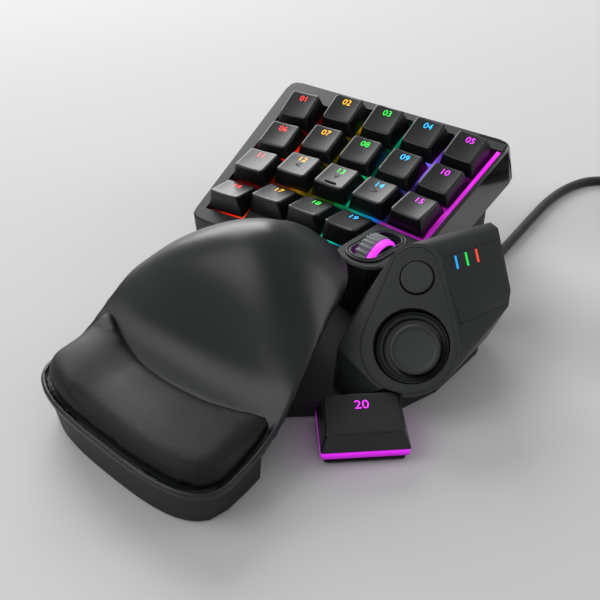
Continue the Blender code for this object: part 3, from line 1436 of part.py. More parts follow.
def make_thumb_key():
    """Wide key number twenty: a hollow cap with a lit band under it, over a fixed pedestal."""
    lean = THUMB_KEY_LEAN_DEGREES
    base = (THUMB_KEY_WIDTH, THUMB_KEY_DEPTH)
    top = (THUMB_KEY_TOP_WIDTH, THUMB_KEY_TOP_DEPTH)
    rings = cap_rings(base, KEY_CORNER, THUMB_KEY_SKIRT, top, KEY_CORNER, THUMB_KEY_HEIGHT, lean)
    cap = loft("key_20", rings, THUMB_KEY)
    mouth = rectangle(THUMB_KEY_WIDTH - 2 * BAND_WALL, THUMB_KEY_DEPTH - 2 * BAND_WALL)
    roof = rectangle(THUMB_KEY_TOP_WIDTH - 2 * BAND_WALL, THUMB_KEY_TOP_DEPTH - 2 * BAND_WALL)
    hollow = [
        rise(mouth, THUMB_KEY_SKIRT - OVERRUN),
        rise(mouth, THUMB_KEY_SKIRT),
        leaning(roof, THUMB_KEY_ROOF, lean, THUMB_KEY_HEIGHT),
    ]
    boolean(cap, loft("key_20_hollow", hollow, THUMB_KEY, True))
    stem_low = FOOT_GAP + TAB_THICKNESS + THUMB_KEY_TRAVEL + 2 * SEAT_GAP
    stem_top = THUMB_KEY_HEIGHT - THUMB_KEY_ROOF / 2
    stem = block("key_20_stem", THUMB_STEM_WIDTH, THUMB_STEM_DEPTH, stem_low, stem_top, THUMB_KEY, True)
    boolean(cap, stem, "UNION")
    finish(cap, KEY_BLACK)

    band_outline = rounded(rectangle(*base), KEY_CORNER)
    band_top = THUMB_KEY_SKIRT - SEAT_GAP
    band = plate("key_20_light_band", [band_outline, mouth], BAND_BOTTOM, band_top, THUMB_KEY)
    finish(band, LIT_PLASTIC)

    width = THUMB_KEY_TOP_WIDTH - 2 * BAND_WALL - 2 * SEAT_GAP
    depth = THUMB_KEY_TOP_DEPTH - 2 * BAND_WALL - 2 * SEAT_GAP
    bore = rectangle(THUMB_STEM_WIDTH + 2 * STEM_CLEARANCE, THUMB_STEM_DEPTH + 2 * STEM_CLEARANCE)
    low = FOOT_GAP + TAB_THICKNESS + SEAT_GAP
    outline = rounded(rectangle(width, depth), KEY_CORNER)
    finish(plate("key_20_pedestal", [outline, bore], low, PEDESTAL_HEIGHT, THUMB_KEY), MATTE_BLACK)


def smooth_route(points, step):
    """Points about a step apart along a smooth curve through the route's own points."""
    chain = [points[0] * 2 - points[1]] + points + [points[-1] * 2 - points[-2]]
    fine = []
    for index in range(1, len(chain) - 2):
        before, start, end, after = chain[index - 1:index + 3]
        pieces = max(int((end - start).length / step * 8), 8)
        for piece in range(pieces):
            t = piece / pieces
            fine.append(
                start
                + (end - before) * (t / 2)
                + (before * 2 - start * 5 + end * 4 - after) * (t * t / 2)
                + (start * 3 - before - end * 3 + after) * (t * t * t / 2)
            )
    fine.append(points[-1])
    spaced = [fine[0]]
    for point in fine[1:-1]:
        if (point - spaced[-1]).length >= step:
            spaced.append(point)
    if (fine[-1] - spaced[-1]).length < step / 2:
        spaced.pop()
    spaced.append(fine[-1])
    return spaced


def route_length(points):
    return sum((after - before).length for before, after in zip(points, points[1:]))


def cable_floor():
    return CABLE_DIAMETER / 2 + CABLE_REST


def coil_points():
    """Turns of the stowed cable: spirals in and out again, layer on layer, wound clockwise."""
    points = []
    total = COIL_LAYERS * COIL_LAYER_TURNS_SHARE
    outer = COIL_INNER_RADIUS + COIL_PITCH * COIL_LAYER_TURNS_SHARE
    climb = COIL_CLIMB_TURNS_SHARE / COIL_LAYER_TURNS_SHARE
    count = round(total * COIL_POINTS_PER_TURN)
    for step in range(count + 1):
        turns = total * step / count
        layer = turns / COIL_LAYER_TURNS_SHARE
        whole = min(int(layer), COIL_LAYERS - 1)
        part = layer - whole
        inward = part if whole % 2 == 0 else 1.0 - part
        radius = outer - (outer - COIL_INNER_RADIUS) * inward
        height = whole
        if part > 1.0 - climb and whole < COIL_LAYERS - 1:
            height = whole + (part - 1.0 + climb) / (2 * climb)
        if part < climb and whole > 0:
            height = whole - 0.5 + part / (2 * climb)
        angle = math.radians(COIL_START_DEGREES) - 2 * math.pi * turns
        place = Vector((radius * math.cos(angle), radius * math.sin(angle), height * COIL_PITCH))
        points.append(Vector((COIL_X, COIL_Y, cable_floor())) + place)
    return points


def with_straight_ends(points):
    """Adds a straight end, one diameter long, to each end of a wound cable."""
    first = points[0] - points[1]
    last = points[-1] - points[-2]
    first.z = 0.0
    last.z = 0.0
    first.normalize()
    last.normalize()
    return [points[0] + first * CABLE_DIAMETER] + points + [points[-1] + last * CABLE_DIAMETER]


def least_coil_gap(points):
    """The least gap between turns, measured from each point to the segments of other turns."""
    least = route_length(points)
    skip = COIL_POINTS_PER_TURN // 2
    for index, point in enumerate(points):
        for other in range(index + skip, len(points) - 1):
            start = points[other]
            along = points[other + 1] - start
            share = max(0.0, min(1.0, (point - start).dot(along) / along.length_squared))
            least = min(least, (start + along * share - point).length)
    return least - CABLE_DIAMETER


def tube(name, points, resolution):
    """A round cable along the points, made a mesh with its end caps welded on."""
    curve = bpy.data.curves.new(name + "_route", "CURVE")
    curve.dimensions = "3D"
    spline = curve.splines.new("POLY")
    spline.points.add(len(points) - 1)
    for target, point in zip(spline.points, points):
        target.co = (*point, 1.0)
    curve.bevel_depth = CABLE_DIAMETER / 2
    curve.bevel_resolution = resolution
    curve.use_fill_caps = True
    guide = new_object(name + "_route", curve, None, True)
    mesh = evaluated_mesh(guide)
    bpy.data.objects.remove(guide, do_unlink=True)
    edit = bmesh.new()
    edit.from_mesh(mesh)
    bpy.data.meshes.remove(mesh)
    bmesh.ops.remove_doubles(edit, verts=edit.verts, dist=MERGE_DISTANCE)
    return finish(new_object(name, mesh_from(edit, name)), BRAID)


def gland_height():
    return FOOT_GAP + GLAND_FLANGE_RADIUS


def lead_route(coil_start, coil_heading):
    """Hand-chosen route of the lead from the gland over the desk to the coil."""
    start = Vector((GLAND_X, MODULE_FOOT_FAR + GLAND_LENGTH + 2 * SEAT_GAP, gland_height()))
    return [
        start,
        start + Vector((0.0, CABLE_DIAMETER, 0.0)),
        Vector((0.0458, 0.0700, 0.0030)),
        Vector((0.0458, 0.0820, 0.0021)),
        Vector((0.0459, 0.1000, 0.0021)),
        Vector((0.0461, 0.1200, 0.0021)),
        Vector((0.0468, 0.1380, 0.0021)),
        Vector((0.0502, 0.1550, 0.0021)),
        Vector((0.0580, 0.1680, 0.0021)),
        coil_start + coil_heading * 2 * CABLE_DIAMETER,
        coil_start,
    ]


def tail_route(coil_end, coil_heading):
    """Hand-chosen route of the tail from the top of the coil down to the plug."""
    end = Vector((PLUG_X, PLUG_Y + PLUG_NECK_LENGTH + SEAT_GAP, CABLE_REST + PLUG_HEIGHT / 2))
    return [
        coil_end,
        coil_end + coil_heading * 2 * CABLE_DIAMETER,
        Vector((0.1212, 0.1220, 0.0120)),
        Vector((0.1175, 0.1100, 0.0066)),
        end + Vector((0.0, 2 * CABLE_DIAMETER, 0.0)),
        end,
    ]


def make_cable():
    """Strain relief, lead, stowed coil, tail and plug."""
    turns = coil_points()
    wound = with_straight_ends(turns)
    tube("cable_coil", wound, 1)
    start_heading = (wound[0] - wound[1]).normalized()
    end_heading = (wound[-1] - wound[-2]).normalized()
    lead = smooth_route(lead_route(wound[0] + start_heading * SEAT_GAP, start_heading), LEAD_STEP)
    tube("cable_lead", lead, 2)
    tail = smooth_route(tail_route(wound[-1] + end_heading * SEAT_GAP, end_heading), TAIL_STEP)
    tube("cable_tail", tail, 2)
    total = route_length(lead) + route_length(wound) + route_length(tail)
    print("cable length %.3f m, least gap between turns %.5f m" % (total, least_coil_gap(turns)))

    low = -GLAND_LENGTH
    profile = [
        (0.0, 0.0),
        (GLAND_TIP_RADIUS, 0.0),
        (GLAND_RADIUS, low + GLAND_FLANGE),
        (GLAND_FLANGE_RADIUS, low + GLAND_FLANGE),
        (GLAND_FLANGE_RADIUS, low),
        (0.0, low),
    ]
    gland = turned("cable_gland", profile, SMALL_ROUND_STEPS)
    gland.location = (GLAND_X, MODULE_FOOT_FAR + GLAND_LENGTH + SEAT_GAP, gland_height())
    gland.rotation_euler = (-math.pi / 2, 0.0, 0.0)
    finish(gland, RUBBER)

    body = plate("usb_plug_body", [rounded(rectangle(PLUG_WIDTH, PLUG_HEIGHT), PLUG_BEVEL)], 0.0, PLUG_LENGTH)
    neck_profile = [
        (0.0, PLUG_BEVEL),
        (PLUG_NECK_RADIUS, PLUG_BEVEL),
        (PLUG_NECK_RADIUS, 0.0),
        (PLUG_NECK_TIP_RADIUS, -PLUG_NECK_LENGTH),
        (0.0, -PLUG_NECK_LENGTH),
    ]
    neck = turned("plug_neck", neck_profile, SMALL_ROUND_STEPS, None, True)
    shell_low = PLUG_LENGTH - PLUG_SHELL_INSIDE
    width = PLUG_SHELL_WIDTH + 2 * SEAT_GAP
    height = PLUG_SHELL_HEIGHT + 2 * SEAT_GAP
    socket = block("plug_socket", width, height, shell_low - SEAT_GAP, PLUG_LENGTH + OVERRUN, None, True)
    shell_high = shell_low + PLUG_SHELL_LENGTH
    shell = block("usb_plug_shell", PLUG_SHELL_WIDTH, PLUG_SHELL_HEIGHT, shell_low, shell_high)
    width = PLUG_SHELL_WIDTH - 2 * PLUG_SHELL_WALL
    height = PLUG_SHELL_HEIGHT - 2 * PLUG_SHELL_WALL
    mouth = block("plug_mouth", width, height, PLUG_LENGTH, shell_high + OVERRUN, None, True)
    boolean(body, neck, "UNION")
    boolean(body, socket)
    boolean(shell, mouth)
    for item in (body, neck, socket, shell, mouth):
        item.location = (PLUG_X, PLUG_Y, CABLE_REST + PLUG_HEIGHT / 2)
        item.rotation_euler = (math.pi / 2, 0.0, 0.0)
    finish(body, MATTE_BLACK)
    finish(shell, STEEL)


def main():
    make_deck_frame()
    make_side_trim()
    make_light_strip()
    make_guide_plate()
    make_dome_mat()
    make_circuit_board()
    make_keys()
    make_wheel()
    make_base_shell()
    make_feet()
    make_palm_shell()
    make_wrist_pad()
    make_palm_heel()
    make_palm_foot()
    key_room = make_thumb_key_room()
    make_thumb_housing(key_room)
    make_thumb_face(key_room)
    make_side_panel()
    make_thumb_button()
    make_thumb_stick()
    make_thumb_key()
    make_cable()


main()
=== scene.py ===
"""Dresses the gaming keypad: moulded finishes, lit legends, a soft wrist pad and its braided cable."""

import json
import math

import bmesh
import bpy
from mathutils import Matrix, Vector
from mathutils.geometry import convex_hull_2d
from mathutils.kdtree import KDTree

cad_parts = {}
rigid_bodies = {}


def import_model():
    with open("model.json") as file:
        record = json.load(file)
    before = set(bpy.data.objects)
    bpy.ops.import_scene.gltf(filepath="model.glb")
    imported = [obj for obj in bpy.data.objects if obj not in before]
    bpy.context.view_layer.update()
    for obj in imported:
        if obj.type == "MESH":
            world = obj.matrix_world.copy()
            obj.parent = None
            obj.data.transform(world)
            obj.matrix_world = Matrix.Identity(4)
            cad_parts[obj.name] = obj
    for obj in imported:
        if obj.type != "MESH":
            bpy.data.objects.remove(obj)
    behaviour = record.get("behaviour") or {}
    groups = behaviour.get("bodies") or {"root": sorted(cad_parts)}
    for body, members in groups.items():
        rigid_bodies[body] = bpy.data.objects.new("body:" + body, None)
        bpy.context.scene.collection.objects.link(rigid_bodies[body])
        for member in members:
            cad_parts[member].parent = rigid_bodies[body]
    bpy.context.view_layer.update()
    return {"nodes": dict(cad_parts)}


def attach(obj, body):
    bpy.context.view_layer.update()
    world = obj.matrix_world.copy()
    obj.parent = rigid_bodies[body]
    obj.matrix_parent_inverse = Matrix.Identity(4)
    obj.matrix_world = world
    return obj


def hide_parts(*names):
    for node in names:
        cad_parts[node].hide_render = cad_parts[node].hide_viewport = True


bl_info = {
    "name": "Gaming keypad looks",
    "version": (1, 0, 0),
    "blender": (4, 5, 0),
    "location": "View3D > Sidebar > Keypad",
    "description": "Finishes, lit legends, wrist pad and cable for the gaming keypad",
    "category": "Object",
}

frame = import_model()
NODES = frame["nodes"]
BODY = "keypad_body"
MM = 0.001
WELD = 0.002 * MM

# Frames of the object, as its CAD places them
DECK_PLACE = Matrix.Translation((-0.0167, 0.0856, 0.0490)) @ Matrix.Rotation(math.radians(13.6), 4, "X")
FACE_PLACE = (
    Matrix.Translation((0.0556, -0.0163, 0.0260))
    @ Matrix.Rotation(math.radians(13.2), 4, "Z")
    @ Matrix.Rotation(math.radians(41.2), 4, "X")
    @ Matrix.Rotation(math.radians(9.7), 4, "Z")
)
STICK_PLACE = FACE_PLACE @ Matrix.Translation((1.7 * MM, -1.5 * MM, -9.5 * MM))
BUTTON_PLACE = FACE_PLACE @ Matrix.Translation((0.0, 24.1 * MM, 0.0))
THUMB_KEY_PLACE = Matrix.Translation((0.0527, -0.0424, 0.0)) @ Matrix.Rotation(math.radians(38.5), 4, "Z")
PALM_PLACE = Matrix.Translation((-0.0072, -0.1044, 0.0))
PANEL_START = Vector((0.0525, 0.0092, 0.0))
PANEL_HEADING = math.radians(61.8)
WHEEL_CENTRE = Vector((0.020653, 0.01685, 0.026041))
WHEEL_AXIS = Vector((0.997314, -0.071185, -0.017221))

# Finger keys: rows run towards the palm, columns towards the thumb; caps are given across and along
KEY_PITCH = 19.3 * MM
COLUMN_PITCH = 18.4 * MM
COLUMN_SPLAY = math.radians(2.1)
COLUMN_STAGGER = (5.8 * MM, 0.4 * MM, 0.0, 0.6 * MM, 1.7 * MM)
ROWS_IN_COLUMN = (4, 4, 4, 4, 3)
MIDDLE_COLUMN = 2
LAST_COLUMN = 4
LAST_ROW = 3
ROW_DROP = (0.0, 2.2 * MM, 1.3 * MM, 1.5 * MM)
ROW_LEAN = tuple(math.radians(lean) for lean in (9.8, 3.9, -7.2, -22.7))
KEY_FLOOR = -8.2 * MM
KEY_TOP = (14.2 * MM, 14.8 * MM)
KEY_BASE = (17.3 * MM, 17.3 * MM)
KEY_CORNER = 1.6 * MM
KEY_DISH = 0.5 * MM
KEY_STEM = (5.2 * MM, 5.2 * MM, 10.0 * MM)
KEY_STEM_MIDDLE = -9.3 * MM
CAP_LIP = 0.7 * MM
CAP_BASE_CORNER = 0.7 * MM
CAP_WALL = 1.2 * MM
CAP_STEPS = 20
THUMB_KEY_TOP = (26.8 * MM, 18.0 * MM)
THUMB_KEY_BASE = (30.2 * MM, 21.5 * MM)
THUMB_KEY_CORNER = 1.8 * MM
THUMB_KEY_SKIRT = 6.6 * MM
THUMB_KEY_HEIGHT = 13.8 * MM
THUMB_KEY_LEAN = math.radians(5.0)
THUMB_KEY_DISH = 0.12 * MM
THUMB_KEY_STEPS = 28

# Marks on the keys
LEGEND_COLOURS = ("#ff2a20", "#ffb400", "#20e040", "#20b8ff", "#e030f0")
LEGEND_FORWARD = 3.9 * MM
THUMB_LEGEND_SIZE = 5.2 * MM
THUMB_LEGEND_FORWARD = 3.8 * MM
ARROWS = {8: ("^", 1.7), 12: ("<", 1.3), 13: ("v", 1.3), 14: (">", 1.3)}
ARROW_BEHIND = 4.3 * MM
ARROW_WEIGHT = 0.10 * MM
MARK_DEPTH = 0.06 * MM
MARK_PROUD = 0.03 * MM

# Lathe profiles: radius and height in millimetres
WHEEL_RADIUS = 12.0
WHEEL_RIBS = 30
WHEEL_RIB_HEIGHT = 0.9
TYRE_BORE = 9.9
TYRE_WIDTH = 5.2
WHEEL_BLOCK_SHIFT = (1.6 * MM, -28.6 * MM, 1.6 * MM)
BEZEL_BEADS = (
    ("bezel_outer_bead", 29.9, 14.0, 0.40, 0.35),
    ("bezel_inner_bead", 27.0, 11.1, 0.45, 0.40),
)
BUTTON_PROFILE = (
    (0.0, 0.80), (4.9, 0.90), (5.68, 0.90), (5.70, -1.9), (7.1, -1.9), (7.1, -3.3), (3.0, -3.3), (3.0, -6.2),
    (0.0, -6.2),
)
STICK_PROFILE = (
    (0.0, 12.15), (6.9, 12.25), (7.7, 12.7), (8.7, 12.5), (8.6, 10.3), (7.4, 9.0), (2.6, 8.8), (2.6, 3.4),
)
STICK_BALL = 4.2
GATE_PROFILE = (
    (13.0, -5.3), (13.0, -3.9), (12.5, -3.3), (12.1, -3.3), (11.7, -3.9), (10.4, -4.2), (10.2, -5.3), (13.0, -5.3),
)
SCREW_PROFILE = ((0.0, -0.18), (1.7, -0.10), (2.1, 0.10), (2.1, 0.9), (0.0, 0.9))
SCREW_PLACES = ((-0.052, 0.026), (0.026, 0.026), (-0.052, 0.094), (0.026, 0.094))
# Cross slot of each screw: two thin black boxes of painted shade, not a cut; size, how far sunk and turn
SCREW_SLOT = (2.2 * MM, 0.5 * MM, 0.3 * MM)
SCREW_SLOT_SUNK = 0.06 * MM
SCREW_TURN = 0.4

# Palm rest stations: place along, half width, edge height and crown height, as shares
PALM_LENGTH = 115.5 * MM
PALM_HALF_WIDTH = 44.3 * MM
PALM_HEIGHT = 60.0 * MM
PALM_SKEW = 0.12
PALM_DOME = 2.4
PALM_WALL = 1.5 * MM
PALM_LIP = 0.9 * MM
WRIST_END = 0.17
WRIST_SQUARENESS = 3.0
SHOULDER_FALL = 9.5 * MM
SHOULDER_START = 0.46
SHOULDER_RUN = 0.34
SHOULDER_SIDE = 0.28
SHOULDER_SPREAD = 0.85
WRIST_LIFT = 3.2 * MM
WRIST_LIFT_END = 0.36
PALM_STATIONS = (
    (0.000, 0.36, 0.233, 0.235),
    (0.022, 0.72, 0.233, 0.240),
    (0.074, 0.92, 0.236, 0.252),
    (0.143, 0.985, 0.245, 0.265),
    (0.229, 1.000, 0.268, 0.285),
    (0.307, 1.000, 0.315, 0.318),
    (0.359, 0.995, 0.365, 0.365),
    (0.403, 0.985, 0.415, 0.440),
    (0.455, 0.965, 0.475, 0.600),
    (0.515, 0.940, 0.540, 0.780),
    (0.584, 0.905, 0.595, 0.915),
    (0.662, 0.860, 0.635, 0.990),
    (0.749, 0.815, 0.660, 0.975),
    (0.818, 0.750, 0.672, 0.900),
    (0.879, 0.625, 0.665, 0.820),
    (0.922, 0.470, 0.655, 0.735),
    (0.961, 0.300, 0.635, 0.665),
    (0.990, 0.140, 0.615, 0.620),
    (1.000, 0.060, 0.610, 0.610),
)

# The cushion in its recess, how it rises, and the wall under it
PAD_FAR = 0.365
PAD_BOW_START = 0.291
PAD_BOW_MIDDLE = -0.10
PAD_BOW_LEFT = 0.098
PAD_BOW_RIGHT = 0.0485
PAD_RIM = 2.6 * MM
PAD_END = 17.0 * MM
PAD_RISE = 5.0 * MM
PAD_FAR_RISE = 2.6 * MM
PAD_LEFT_RISE = 2.4 * MM
PAD_SHOULDER = 6.0 * MM
PAD_SIDE = 1.2 * MM
PAD_ROUNDNESS = 2.2
PAD_CLEARANCE = 0.2 * MM
PAD_VOXEL = 1.6 * MM
PAD_SWELL = 0.5 * MM
RECESS_DEPTH = 1.6 * MM
HEEL_INSET = 1.9 * MM
HEEL_FOOT = 0.8 * MM
HEEL_MIDDLE = Vector((0.0, 0.24 * PALM_LENGTH, 0.0))
HEEL_SHRINK = 0.012
HEEL_LEAN = 0.045
HEEL_WALL = 0.035

# Cable route, repeated from the CAD
CABLE_DIAMETER = 4.0 * MM
COIL_CENTRE = Vector((0.1028, 0.1571, 0.0021))
COIL_INNER_RADIUS = 14.2 * MM
COIL_PITCH = 4.6 * MM
COIL_LAYERS = 4
COIL_LAYER_TURNS = 3.35
COIL_CLIMB_TURNS = 0.25
COIL_START = math.radians(120.0)
COIL_POINTS_PER_TURN = 36
SEAT_GAP = 0.3 * MM
GLAND_EXIT = Vector((0.0458, 0.0527, 0.0043))
PLUG_NECK_END = Vector((0.1158, 0.0923, 0.0039))
LEAD_POINTS = (
    (0.0458, 0.0700, 0.0030), (0.0458, 0.0820, 0.0021), (0.0459, 0.1000, 0.0021), (0.0461, 0.1200, 0.0021),
    (0.0468, 0.1380, 0.0021), (0.0502, 0.1550, 0.0021), (0.0580, 0.1680, 0.0021),
)
TAIL_POINTS = ((0.1212, 0.1220, 0.0120), (0.1175, 0.1100, 0.0066))

# Camera and lamps
CAMERA_PLACE = (0.1551, -0.2246, 0.2255)
CAMERA_LENS = 52.8
CAMERA_AZIMUTH = math.radians(35.011)
CAMERA_ELEVATION = math.radians(38.159)
CAMERA_ROLL = math.radians(-0.617)
LAMP_AIM = Vector((0.0, 0.0, 0.02))
LAMPS = (
    ("key", (-1.05, 0.78, 0.66), 1.00),
    ("fill", (-0.65, -0.75, 1.10), 0.90),
    ("rim", (1.00, 1.05, 0.46), 0.70),
)

# Moulded finishes: colour, worn colour, roughness, grain and its depth in mm, spread of the roughness
MOULDED = {
    # ABS sprayed with soft-touch paint: dark, satin, with broad soft highlights
    "soft_touch_abs": ("#1a1e20", "#212527", 0.44, 0.22, 0.012, 0.08),
    # ABS of the palm rest, rubbed smoother by the hand: a touch more sheen
    "soft_touch_rest_abs": ("#14181a", "#1a1e20", 0.36, 0.22, 0.010, 0.08),
    # Key caps under clear matt lacquer: nearly black, tight highlights on the edges
    "lacquered_key_abs": ("#0f1112", "#141617", 0.30, 0.16, 0.006, 0.05),
    # Pad-printed marks: a dull ink that stays dark where the caps catch the lamps. The same black is also used as
    # painted shade: plates in the plug's latch windows and boxes in the screws' slots
    "black_pad_ink": ("#020202", "#040404", 0.62, 0.3, 0.002, 0.08),
    # Fine-grained ABS of the button and stick: matt, a shade lighter than the caps
    "matt_control_abs": ("#24282a", "#2a2f31", 0.46, 0.14, 0.006, 0.05),
    # Spark-eroded ABS of the base: coarse dull grain that hides scuffs
    "textured_base_abs": ("#101213", "#161819", 0.60, 0.45, 0.030, 0.08),
    # Moulded nylon of the plug's tongue: off-white, waxy
    "insulating_nylon": ("#d9d8d0", "#e2e1da", 0.40, 0.4, 0.004, 0.05),
    # Translucent silicone of the dome mat: milky, slightly greasy sheen
    "milky_silicone": ("#b9bab6", "#c8c9c5", 0.42, 0.8, 0.01, 0.08),
    # Elastomer of the feet and of the strain relief: dull, dusty, with almost no highlight
    "foot_rubber": ("#1a1b1c", "#1a1b1c", 0.80, 0.5, 0.02, 0.08),
    "relief_rubber": ("#151617", "#151617", 0.80, 0.5, 0.02, 0.08),
    # Elastomer of the wheel's tyre as moulded: dark and dull
    "wheel_rubber": ("#2c2e30", "#2c2e30", 0.80, 0.3, 0.02, 0.08),
    # The tyre's ribs, polished by the finger to a soft sheen; their mid grey colour is a painted highlight of the
    # light the ribs catch, on what is the same dark rubber
    "polished_wheel_rubber": ("#85888a", "#85888a", 0.40, 0.3, 0.02, 0.08),
}

# Smooth finishes: colour, roughness, metallic, pattern scale, detail, range of the pattern, roughness over it, coat
POLISHED = {
    # Polished ABS trim: a mirror-like black with hair-fine scratches under a clear coat
    "polished_black_abs": ("#0c0c0e", 0.10, 0.0, (2500.0, 90.0, 2500.0), 3.0, (0.55, 0.8), (0.08, 0.22), 0.5),
    # Nickel-plated steel: bright, with fine drawing lines along it
    "nickel_plated_steel": ("#c3c4c6", 0.24, 1.0, (3000.0, 120.0, 3000.0), 2.0, (0.0, 1.0), (0.16, 0.34), 0.0),
    # Thin gold plating on the plug's contacts: warm, rubbed in patches half a millimetre across
    "gold_plating": ("#e2b65c", 0.22, 1.0, (500.0, 500.0, 500.0), 3.0, (0.0, 1.0), (0.14, 0.36), 0.0),
}

# Colours of the lamps under the plate, by their place across the columns
PLATE_STOPS = (
    (0.00, "#ff1408"), (0.16, "#ff1c08"), (0.27, "#ff8c00"), (0.36, "#e8c400"), (0.50, "#18e020"),
    (0.63, "#00d0c0"), (0.73, "#1478ff"), (0.84, "#c820f0"), (1.00, "#f020d8"),
)
STATUS_STOPS = ((0.0, "#18a0ff"), (0.333, "#18e048"), (0.666, "#ff4a24"))


def linear(code):
    """Turns an sRGB hex colour into linear red, green, blue and alpha."""
    parts = [int(code[place:place + 2], 16) / 255 for place in (1, 3, 5)]
    return tuple(c / 12.92 if c <= 0.04045 else ((c + 0.055) / 1.055) ** 2.4 for c in parts) + (1.0,)


def feed(node, inputs):
    """Sets a node's inputs: a socket is linked, anything else becomes the input's own value."""
    for name, value in inputs.items():
        if isinstance(value, bpy.types.NodeSocket):
            node.id_data.links.new(value, node.inputs[name])
        else:
            node.inputs[name].default_value = value


def add_node(tree, kind, inputs=None, stops=(), **settings):
    """Adds one shader node with its settings, values and links; a stop is a position and a hex colour."""
    made = tree.nodes.new(kind)
    for name, value in settings.items():
        setattr(made, name, value)
    feed(made, inputs or {})
    for position, _colour in stops[1:-1]:
        made.color_ramp.elements.new(position)
    for index, (position, colour) in enumerate(stops):
        made.color_ramp.elements[index].position = position
        made.color_ramp.elements[index].color = linear(colour)
    return made


def start_material(name, colour, roughness, metallic=0.0, source=("ShaderNodeTexCoord", "Object")):
    """A new material, with its tree, its shader and the place that its patterns are read from."""
    made = bpy.data.materials.new(name)
    made.use_nodes = True
    tree = made.node_tree
    shader = tree.nodes["Principled BSDF"]
    feed(shader, {"Base Color": linear(colour), "Roughness": roughness, "Metallic": metallic})
    return made, tree, shader, add_node(tree, source[0]).outputs[source[1]]


def moulded(name):
    """A moulded finish: faint blotches in colour and gloss over a spark-eroded grain."""
    if name in bpy.data.materials:
        return bpy.data.materials[name]
    colour, worn, roughness, grain, depth, spread = MOULDED[name]
    made, tree, shader, place = start_material(name, colour, roughness)
    blotches = add_node(tree, "ShaderNodeTexNoise", {"Vector": place, "Scale": 0.5 / (12 * MM), "Detail": 4.0})
    shades = ((0.32, colour), (0.72, worn))
    tint = add_node(tree, "ShaderNodeValToRGB", {"Fac": blotches.outputs["Fac"]}, shades)
    gloss = {"Value": blotches.outputs["Fac"], "To Min": roughness - spread, "To Max": roughness + spread}
    shine = add_node(tree, "ShaderNodeMapRange", gloss)
    pits = add_node(tree, "ShaderNodeTexNoise", {"Vector": place, "Scale": 1.0 / (grain * MM), "Detail": 2.0})
    rough = {"Height": pits.outputs["Fac"], "Strength": 0.6, "Distance": depth * MM}
    relief = add_node(tree, "ShaderNodeBump", rough)
    feed(shader, {
        "Base Color": tint.outputs["Color"],
        "Roughness": shine.outputs["Result"],
        "Normal": relief.outputs["Normal"],
    })
    return made


def polished(name):
    """A smooth finish whose gloss varies along fine lines or in patches."""
    if name in bpy.data.materials:
        return bpy.data.materials[name]
    colour, roughness, metallic, scale, detail, (low, high), (least, most), coat = POLISHED[name]
    made, tree, shader, place = start_material(name, colour, roughness, metallic)
    drawn = add_node(tree, "ShaderNodeMapping", {"Vector": place, "Scale": scale})
    lines = add_node(tree, "ShaderNodeTexNoise", {"Vector": drawn.outputs["Vector"], "Scale": 1.0, "Detail": detail})
    gloss = {"Value": lines.outputs["Fac"], "From Min": low, "From Max": high, "To Min": least, "To Max": most}
    feed(shader, {"Roughness": add_node(tree, "ShaderNodeMapRange", gloss).outputs["Result"]})
    if coat:
        feed(shader, {"Coat Weight": coat, "Coat Roughness": 0.05})
    return made


def lit_acrylic(name, colour, strength):
    # Frosted light guide: its glow wavers a little from place to place
    made, tree, shader, place = start_material(name, colour, 0.35)
    frost = add_node(tree, "ShaderNodeTexNoise", {"Vector": place, "Scale": 0.5 / (6 * MM), "Detail": 2.0})
    swing = {"Value": frost.outputs["Fac"], "To Min": strength * 0.7, "To Max": strength * 1.3}
    glow = add_node(tree, "ShaderNodeMapRange", swing)
    feed(shader, {"Emission Color": linear(colour), "Emission Strength": glow.outputs["Result"]})
    return made


def wheel_ring_light():
    # Milky acrylic flange of the scroll wheel, evenly lit
    return lit_acrylic("wheel_ring_acrylic", "#d838f0", 1.15)


def graded_acrylic(name, colour, runs):
    """Light guide with a glow for each run: a direction, where it starts and ends, and the glow at both ends."""
    made, tree, shader, place = start_material(name, colour, 0.35)
    glow = None
    for way, start, end, least, most in runs:
        reach = add_node(tree, "ShaderNodeVectorMath", {0: place, 1: tuple(way)}, operation="DOT_PRODUCT")
        swing = {"Value": reach.outputs["Value"], "From Min": start, "From Max": end, "To Min": least, "To Max": most}
        step = add_node(tree, "ShaderNodeMapRange", swing).outputs["Result"]
        if glow is None:
            glow = step
        else:
            glow = add_node(tree, "ShaderNodeMath", {0: glow, 1: step}, operation="MULTIPLY").outputs["Value"]
    feed(shader, {"Emission Color": linear(colour), "Emission Strength": glow})
    return made


def edge_light(colour, strength):
    # Clear acrylic strip: bright along its top and its right side, faint along its near side
    turn = (DECK_PLACE @ column_place(LAST_COLUMN)).to_3x3()
    along = (turn @ Vector((0.0, 1.0, 0.0))).normalized()
    up = (turn @ Vector((0.0, 0.0, 1.0))).normalized()
    places = [vert.co for vert in NODES["edge_light_strip"].data.vertices]
    near = min(place.dot(along) for place in places)
    top = max(place.dot(up) for place in places)
    return graded_acrylic("edge_light_acrylic", colour, (
        (along, near + 2.0 * MM, near + 8.0 * MM, 0.14, 1.0),
        (up, top - 1.6 * MM, top - 0.2 * MM, 0.15, strength),
    ))


def band_light():
    # Clear acrylic collar under the thumb key: bright where it meets the key, fading to the desk
    return graded_acrylic("key_band_acrylic", "#c818d8", ((Vector((0.0, 0.0, 1.0)), 3.9 * MM, 6.4 * MM, 0.10, 1.15),))


